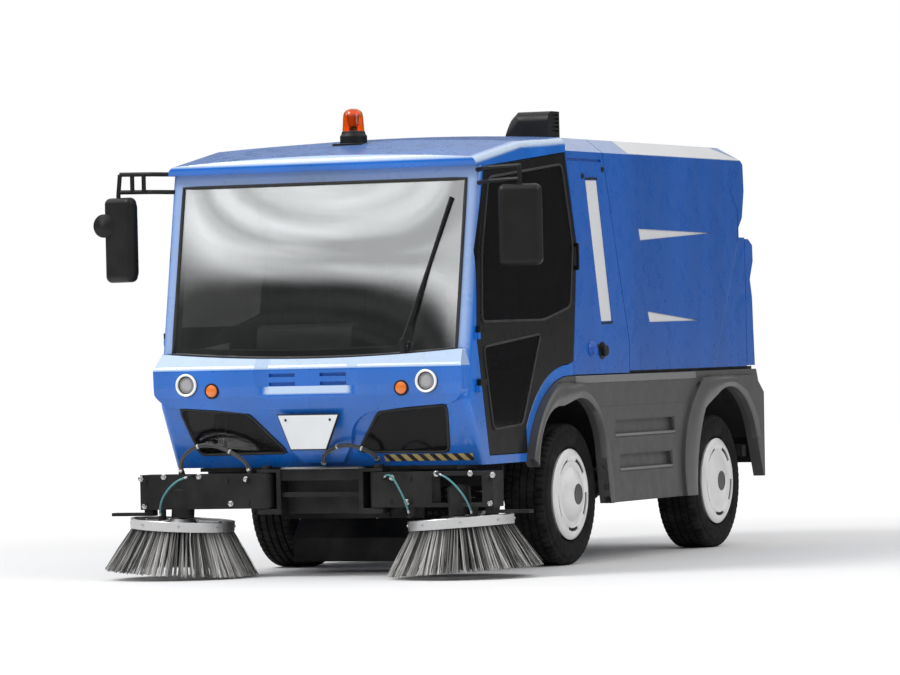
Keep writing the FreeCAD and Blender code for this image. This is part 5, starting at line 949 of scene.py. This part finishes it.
def front_edge(z):
    """Rear border of the front arch's moulding."""
    return 452 - (z - SKIRT_BOTTOM_Z) * 152 / 435 if z < 760 else 300 - (z - 760) * 150 / 200


def rear_edge(z):
    """Front border of the rear arch's moulding."""
    return WHEELBASE - 690 + max(0, z - 500) * 90 / 360


def make_skirt_trim():
    """Rolled wheel arch mouldings, the top rail, the proud lower panel and the sills of its two slots; the
    mouldings, rail and sills are paler greys than the skirt, a painted highlight.
    """
    bottom = SKIRT_BOTTOM_Z
    arc = three_point_arc
    front_inner = ([(392, bottom), (380, 383)]
                   + arc(front_arch(468, 17.4), front_arch(511, 53.5), front_arch(474, 87), 12)
                   + arc(front_arch(466, 109), front_arch(544, 140), front_arch(525, 167), 8))
    front_outer = (arc((440, bottom), (400, 580), (300, 760), 8)
                   + arc((300, 760), (150, 960), (-90, 996), 10)[1:] + [(-210, 1000)]
                   + arc(front_arch(600, 112), front_arch(600, 138), front_arch(600, 164), 8))
    rear_inner = (arc((WHEELBASE - 518, bottom), rear_arch(-495, 170), rear_arch(-360, 440), 8)
                  + arc(rear_arch(-91, 537), rear_arch(250, 500), rear_arch(471, 238), 12))
    rear_outer = (arc((WHEELBASE - 680, bottom), rear_arch(-670, 310), rear_arch(-480, 540), 8)
                  + [(WHEELBASE - 390, 1000), (WHEELBASE - 244, 1007), rear_arch(120, 616), rear_arch(330, 560),
                     rear_arch(500, 400), rear_arch(535, 238)])
    panels = [(front_edge, rear_edge, low, high) for low, high in ((bottom + 6, 494), (596, 687), (789, 862))]
    for z, y0, y1 in SKIRT_SLOTS:
        panels.append((front_edge, lambda level, y=y0: y - 4, z - 16, z + 86))
        panels.append((lambda level, y=y1: y + 4, rear_edge, z - 16, z + 86))
    moulding, lower = Shape(), Shape()
    for inner, outer in ((front_inner, front_outer), (rear_inner, rear_outer)):
        rings = []
        for low, high in zip(spaced(inner, 44), spaced(outer, 44)):
            ring = [at(FLARE_X - 34, *low)]
            for j in range(9):
                t = j / 8
                y, z = (a + (b - a) * t for a, b in zip(low, high))
                crown = math.sin(math.pi * min(1.0, 0.12 + 0.88 * t)) ** 0.8
                ring.append(at(FLARE_X - 8 + 19 * crown, y, z))
            rings.append(ring + [at(FLARE_X - 34, *high)])
        moulding.loft(rings)
    rail = Shape().box((SKIRT_X - 3, -30, SKIRT_TOP_Z - 42), (SKIRT_X + 5, 1780, SKIRT_TOP_Z - 2))
    for z, y0, y1 in SKIRT_SLOTS:
        # Pale sills on the slots' lower lips, a painted highlight
        sill = [at(SKIRT_X + dx, y0 + 2, z + dz) for dx, dz in ((-16, -14), (8, -10), (8, 2), (-16, 6))]
        rail.prism(sill, (0, (y1 - y0 - 4) / 1000, 0))
    for front, rear, low, high in panels:
        corners = [(front(low), low), (rear(low), low), (rear(high), high), (front(high), high)]
        lower.prism([at(SKIRT_X - 2, y, z) for y, z in corners], (0.006, 0, 0))
    pair("arch_mouldings", moulding, "skirt_roll_highlight", smooth=50)
    pair("skirt_rail_highlight", rail, "skirt_rail_highlight", bevel=3)
    pair("skirt_panel", lower, "skirt_grey")


def make_under_cab():
    """Splash plate, seals and pipes under the cab's floor, above the brush arms."""
    tray = Shape()
    for low, high in (
        ((-760, -1236, 569), (760, -900, 589)), ((-412, -905, 300), (412, -898, 474)),
        ((-880, -905, 470), (-414, -898, 590)), ((414, -905, 470), (880, -898, 590)),
    ):
        tray.box(low, high)
    for x in (-500, -170, 170, 500):
        tray.box((x - 22, -1240, 572), (x + 22, -880, 592))
    for x in (-410, -215, 205, 400):
        tray.box((x, -912, 306), (x + 10, -905, 470))
    piece("cab_tray", tray, "chassis_black", bevel=2)
    pair("skirt_seal", Shape().box((907, 446, 1030), (914, 2785, 1057.7)), "gasket_rubber")
    pipes = Shape()
    for y, z, reach, radius in ((-1322, 586, 244, 7), (-1342, 584, 236, 6)):
        half = [(reach, y + 30, z - 6), (reach - 14, y + 4, z), (reach - 40, y, z)]
        line = [(-x, y, z) for x, y, z in half] + half[::-1]
        pipes.tube([at(*place) for place in line], radius, 10)
    piece("beam_pipes", pipes, "grey_pipe", smooth=60)


def make_lamps():
    """Headlamps, indicators and the rear lamps' lenses."""
    lenses, bowls, dark, amber, red = (Shape() for kind in range(5))
    for sign in (-1, 1):
        lamp = at(sign * 705, NOSE_Y - 21, DECK_Z - 3)
        indicator = at(sign * 557, NOSE_Y - 21, DECK_Z - 37)
        for shape, spot, steps, profile in (
            (bowls, lamp, 40, [(0, 2), (12, 2), (26, 8), (40, 19), (49, 33), (50, 30), (49, 2)]),
            (bowls, lamp, 48, [(49, 40), (49, 52), (55, 55), (61, 52), (61, 38)]),
            (bowls, lamp, 20, [(0, 4), (8, 4), (8, 26), (0, 30)]),
            (lenses, lamp, 48, [(0, 44), (30, 42), (48.5, 36), (48.5, 40), (30, 47), (0, 49)]),
            (dark, lamp, 48, [(61, 34), (64, 34), (64, 40), (61, 42)]),
            (amber, indicator, 40, [(0, 0), (36, 0), (36, 36), (30, 46), (16, 51), (0, 52)]),
            (dark, indicator, 40, [(36.5, 26), (42, 26), (42, 40), (36.5, 42)]),
        ):
            shape.turned(profile, spot, FORWARD, steps)
        for x, z in ((0.003, 0.012), (0.012, 0.003)):
            bar = [lamp + Vector((dx, -0.032, dz)) for dx, dz in ((-x, -z), (x, -z), (x, z), (-x, z))]
            dark.prism(bar, (0, -0.004, 0))
    # The bowls' pale colour is a painted reflection
    piece("lamp_bowls", bowls, "lamp_bowl", hides=("front_lamps",))
    piece("lamp_lenses", lenses, "clear_lens")
    piece("lamp_rings", dark, smooth=50)
    piece("indicator_lenses", amber, "amber_lens")
    low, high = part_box("rear_lamps")
    for sign in (-1, 1):
        for offset in (-60, 0, 60):
            spot = Vector((((HALF_WIDTH - 160) * sign + offset) / 1000, high.y - 0.008, (low.z + high.z) / 2))
            red.turned([(0, -2), (26, -2), (26, 3), (18, 7), (0, 8)], spot, (0, 1, 0), 28)
    piece("rear_lenses", red, "red_lens")


def make_beacon():
    """Fluted dome over a reflector, on a dark base."""
    x, y, z = -27.0, NOSE_Y + 675, ROOF_FRONT_Z + 186
    foot = at(x, y, z)
    base = Shape().turned([(0, -34), (74, -34), (74, 8), (66, 18), (63, 34), (0, 34)], foot, UPWARD, 48)
    base.box((x - 95, y - 75, z - 74), (x + 75, y + 75, z - 32))
    base.turned([(0, 34), (22, 34), (20, 60), (0, 62)], foot, UPWARD, 24)
    piece("beacon_base", base, hides=("beacon",), bevel=3)
    outside = [(59, 34), (60, 40), (57.5, 70), (55, 112), (50, 134), (38, 149), (20, 156), (0.5, 158)]
    inside = [(0.5, 154), (17, 152), (34, 145), (46, 131), (51, 111), (53.5, 70), (55, 34)]
    rings = []
    for radius, height in outside + inside:
        ring = []
        for i, (c, s) in enumerate(around(96)):
            flute = 1.3 if i % 4 in (0, 1) and radius > 40 and height < 125 else 0
            ring.append(at(x + (radius - flute) * c, y + (radius - flute) * s, z + height))
        rings.append(ring)
    piece("beacon_dome", Shape().loft(rings, caps=False, closed=True), "beacon_amber")
    bulb = Shape().turned([(0, 60), (12, 62), (14, 96), (6, 108), (0, 110)], foot, UPWARD, 24)
    bulb.turned([(26, 62), (28, 62), (40, 126), (38, 126)], foot, UPWARD, 32)
    piece("beacon_reflector", bulb, "bright_steel")


def soft_block(half_width, outline, voxel, swell, seams):
    """Pad from a side outline: remeshed, blown up as cloth, held near its form and pinched at its seams."""
    shape = Shape().prism([Vector((-half_width, y, z)) / 1000 for y, z in outline], (2 * half_width / 1000, 0, 0))
    obj = linked("pad", shape.mesh("pad"))
    bpy.context.view_layer.objects.active = obj
    obj.select_set(True)
    remesh = obj.modifiers.new("remesh", "REMESH")
    remesh.mode = "VOXEL"
    remesh.voxel_size = voxel / 1000
    obj.modifiers.new("soften", "SMOOTH").iterations = 6
    bpy.ops.object.modifier_apply(modifier="remesh")
    bpy.ops.object.modifier_apply(modifier="soften")
    start = [vertex.co.copy() for vertex in obj.data.vertices]
    frames = 20
    cloth = obj.modifiers.new("cloth", "CLOTH")
    cloth.settings.use_pressure = True
    cloth.settings.uniform_pressure_force = 4
    cloth.settings.quality = 5
    cloth.settings.effector_weights.gravity = 0
    cloth.point_cache.frame_start, cloth.point_cache.frame_end = 1, frames
    for step in range(1, frames + 1):
        bpy.context.scene.frame_set(step)
    bpy.ops.object.modifier_apply(modifier="cloth")
    bpy.context.scene.frame_set(1)
    mesh = obj.data
    for vertex, before in zip(mesh.vertices, start):
        move = vertex.co - before
        if move.length > swell / 1000:
            vertex.co = before + move.normalized() * swell / 1000
    seam_width, seam_depth = 7, 0.007
    for vertex in mesh.vertices:
        x, y, z = (c * 1000 for c in vertex.co)
        for seam in seams:
            away = seam(x, y, z)
            if abs(away) < 20:
                vertex.co -= vertex.normal * seam_depth * math.exp(-(away / seam_width) ** 2)
    bpy.data.objects.remove(obj)
    mesh.materials.append(LOOKS["seat_cloth"])
    mesh.shade_smooth()
    return mesh


def make_seats():
    """Sewn cushions and backs of both seats."""
    back_y, base_z, no_seam = CAB_BACK_Y - 49, 1145.3, 99
    cushion = [(back_y - 126, base_z + 6), (back_y - 126, base_z + 98), (back_y - 150, base_z + 104),
               (back_y - 400, base_z + 108), (back_y - 452, base_z + 86), (back_y - 450, base_z + 6)]
    back = [(back_y - 12, base_z + 6), (back_y - 10, base_z + 570), (back_y - 66, base_z + 576),
            (back_y - 106, base_z + 118), (back_y - 108, base_z + 6)]
    cushion_seams = [lambda x, y, z: abs(x) - 128,
                     lambda x, y, z: (y - back_y + 235) * 1.2 if abs(x) < 128 else no_seam,
                     lambda x, y, z: (y - back_y + 330) * 1.2 if abs(x) < 128 else no_seam]
    back_seams = [lambda x, y, z: abs(x) - 120,
                  lambda x, y, z: z - base_z - 250 if abs(x) < 120 else no_seam,
                  lambda x, y, z: z - base_z - 380 if abs(x) < 120 else no_seam]
    for name, outline, half, seams in (("cushion", cushion, 226, cushion_seams), ("back", back, 212, back_seams)):
        mesh = soft_block(half, outline, 7, 7, seams)
        for side, sign in SIDES:
            obj = linked("seat_%s_%s" % (name, side), mesh)
            obj.location = at(sign * 415, 0, 0)
            smooth = obj.modifiers.new("smooth", "SUBSURF")
            smooth.levels = smooth.render_levels = 1
            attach(obj, "root")
            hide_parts("seat_cushions")


def make_mirror_faces():
    for side, sign, half, low, high, yaw in (("left", 1, 116, 1636, 2064, 12), ("right", -1, 104, 1604, 2064, -20)):
        turn = Matrix.Rotation(math.radians(yaw), 3, "Z")
        centre = at(sign * (HALF_WIDTH + 240), NOSE_Y + 135, 0)
        corners = [(-half + 16, low + 24), (half - 16, low + 24), (half - 16, high - 24), (-half + 16, high - 24)]
        ring = [turn @ Vector((x / 1000, 0.0400, z / 1000)) + centre for x, z in rounded_loop(corners, 34)]
        face = Shape().prism(ring, turn @ Vector((0, 0.002, 0)))
        piece("mirror_face_" + side, face, "mirror_glass", smooth=20)


def floor():
    """White paper that fades into the white round it, in the camera's sight only."""
    bpy.ops.mesh.primitive_plane_add(size=80, location=(0, 0, 0))
    plane = bpy.context.object
    plane.name = "floor"
    look = Look("floor_paper", (0.8, 0.8, 0.8), 0.7, Emission_Color=(1, 1, 1, 1))
    reach = look.node("VectorMath", {0: look.place}, "Value", operation="LENGTH")
    seen = look.math("MULTIPLY", look.smooth_range(reach, 3.2, 9.0), look.node("LightPath", {}, "Is Camera Ray"))
    paper = look.blend(look.noise(0.6), (0.8, 0.8, 0.8), (0.84, 0.84, 0.84))
    look.colour(look.blend(seen, paper, (0.0, 0.0, 0.0)))
    look.put("Emission Strength", seen)
    plane.data.materials.append(look.material)


def lights():
    """White surroundings, which mirrors see as a dark horizon under banded clouds, and two lamps."""
    world = bpy.data.worlds.new("studio")
    world.use_nodes = True
    tree = world.node_tree

    def node(kind, inputs, output=0, **settings):
        return add_node(tree, kind, inputs, output, **settings)

    place = node("TexCoord", {}, "Generated")
    height = node("SeparateXYZ", {0: place}, "Z")
    sky = node("MapRange", {"Value": height, 1: 0.335, 2: 0.37, 3: 0.05, 4: 1.3}, interpolation_type="SMOOTHSTEP")
    wide = node("Mapping", {"Vector": place, "Scale": (2.2, 2.2, 17.0)})
    bands = node("TexNoise", {"Vector": wide, "Scale": 1.6, "Detail": 4.0})
    clouds = node("MapRange", {"Value": bands, 1: 0.38, 2: 0.62, 3: 0.55, 4: 1.25})
    mottled = node("Math", {0: sky, 1: clouds}, operation="MULTIPLY")
    straight, mirrored, through = (node("LightPath", {}, "Is %s Ray" % kind)
                                   for kind in ("Camera", "Glossy", "Transmission"))
    shown = node("Mix", {"Factor": mirrored, 2: 0.8, 3: mottled})
    direct = node("Math", {0: straight, 1: through}, operation="MAXIMUM")
    background = tree.nodes["Background"]
    feed(tree, background, "Strength", node("Mix", {"Factor": direct, 2: shown, 3: 1.0}))
    feed(tree, background, "Color", (1, 1, 1, 1))
    bpy.context.scene.world = world
    for name, spot, energy, size in (("key", (-7, -7.5, 12), 1250, 5), ("fill", (10, -3, 7), 300, 6)):
        data = bpy.data.lights.new(name, "AREA")
        data.energy = energy
        data.size = size
        lamp = linked(name, data)
        lamp.location = spot
        lamp.rotation_euler = (Vector((0, 0, 1)) - Vector(spot)).to_track_quat("-Z", "Y").to_euler()


camera()
make_hoses()
line_cab()
make_cab_glass()
make_wheels()
make_bristles()
make_brush_details()
make_body_trim()
make_skirt_trim()
make_under_cab()
make_seats()
make_lamps()
make_beacon()
make_mirror_faces()
floor()
lights()
bpy.context.scene.view_settings.view_transform = "Standard"
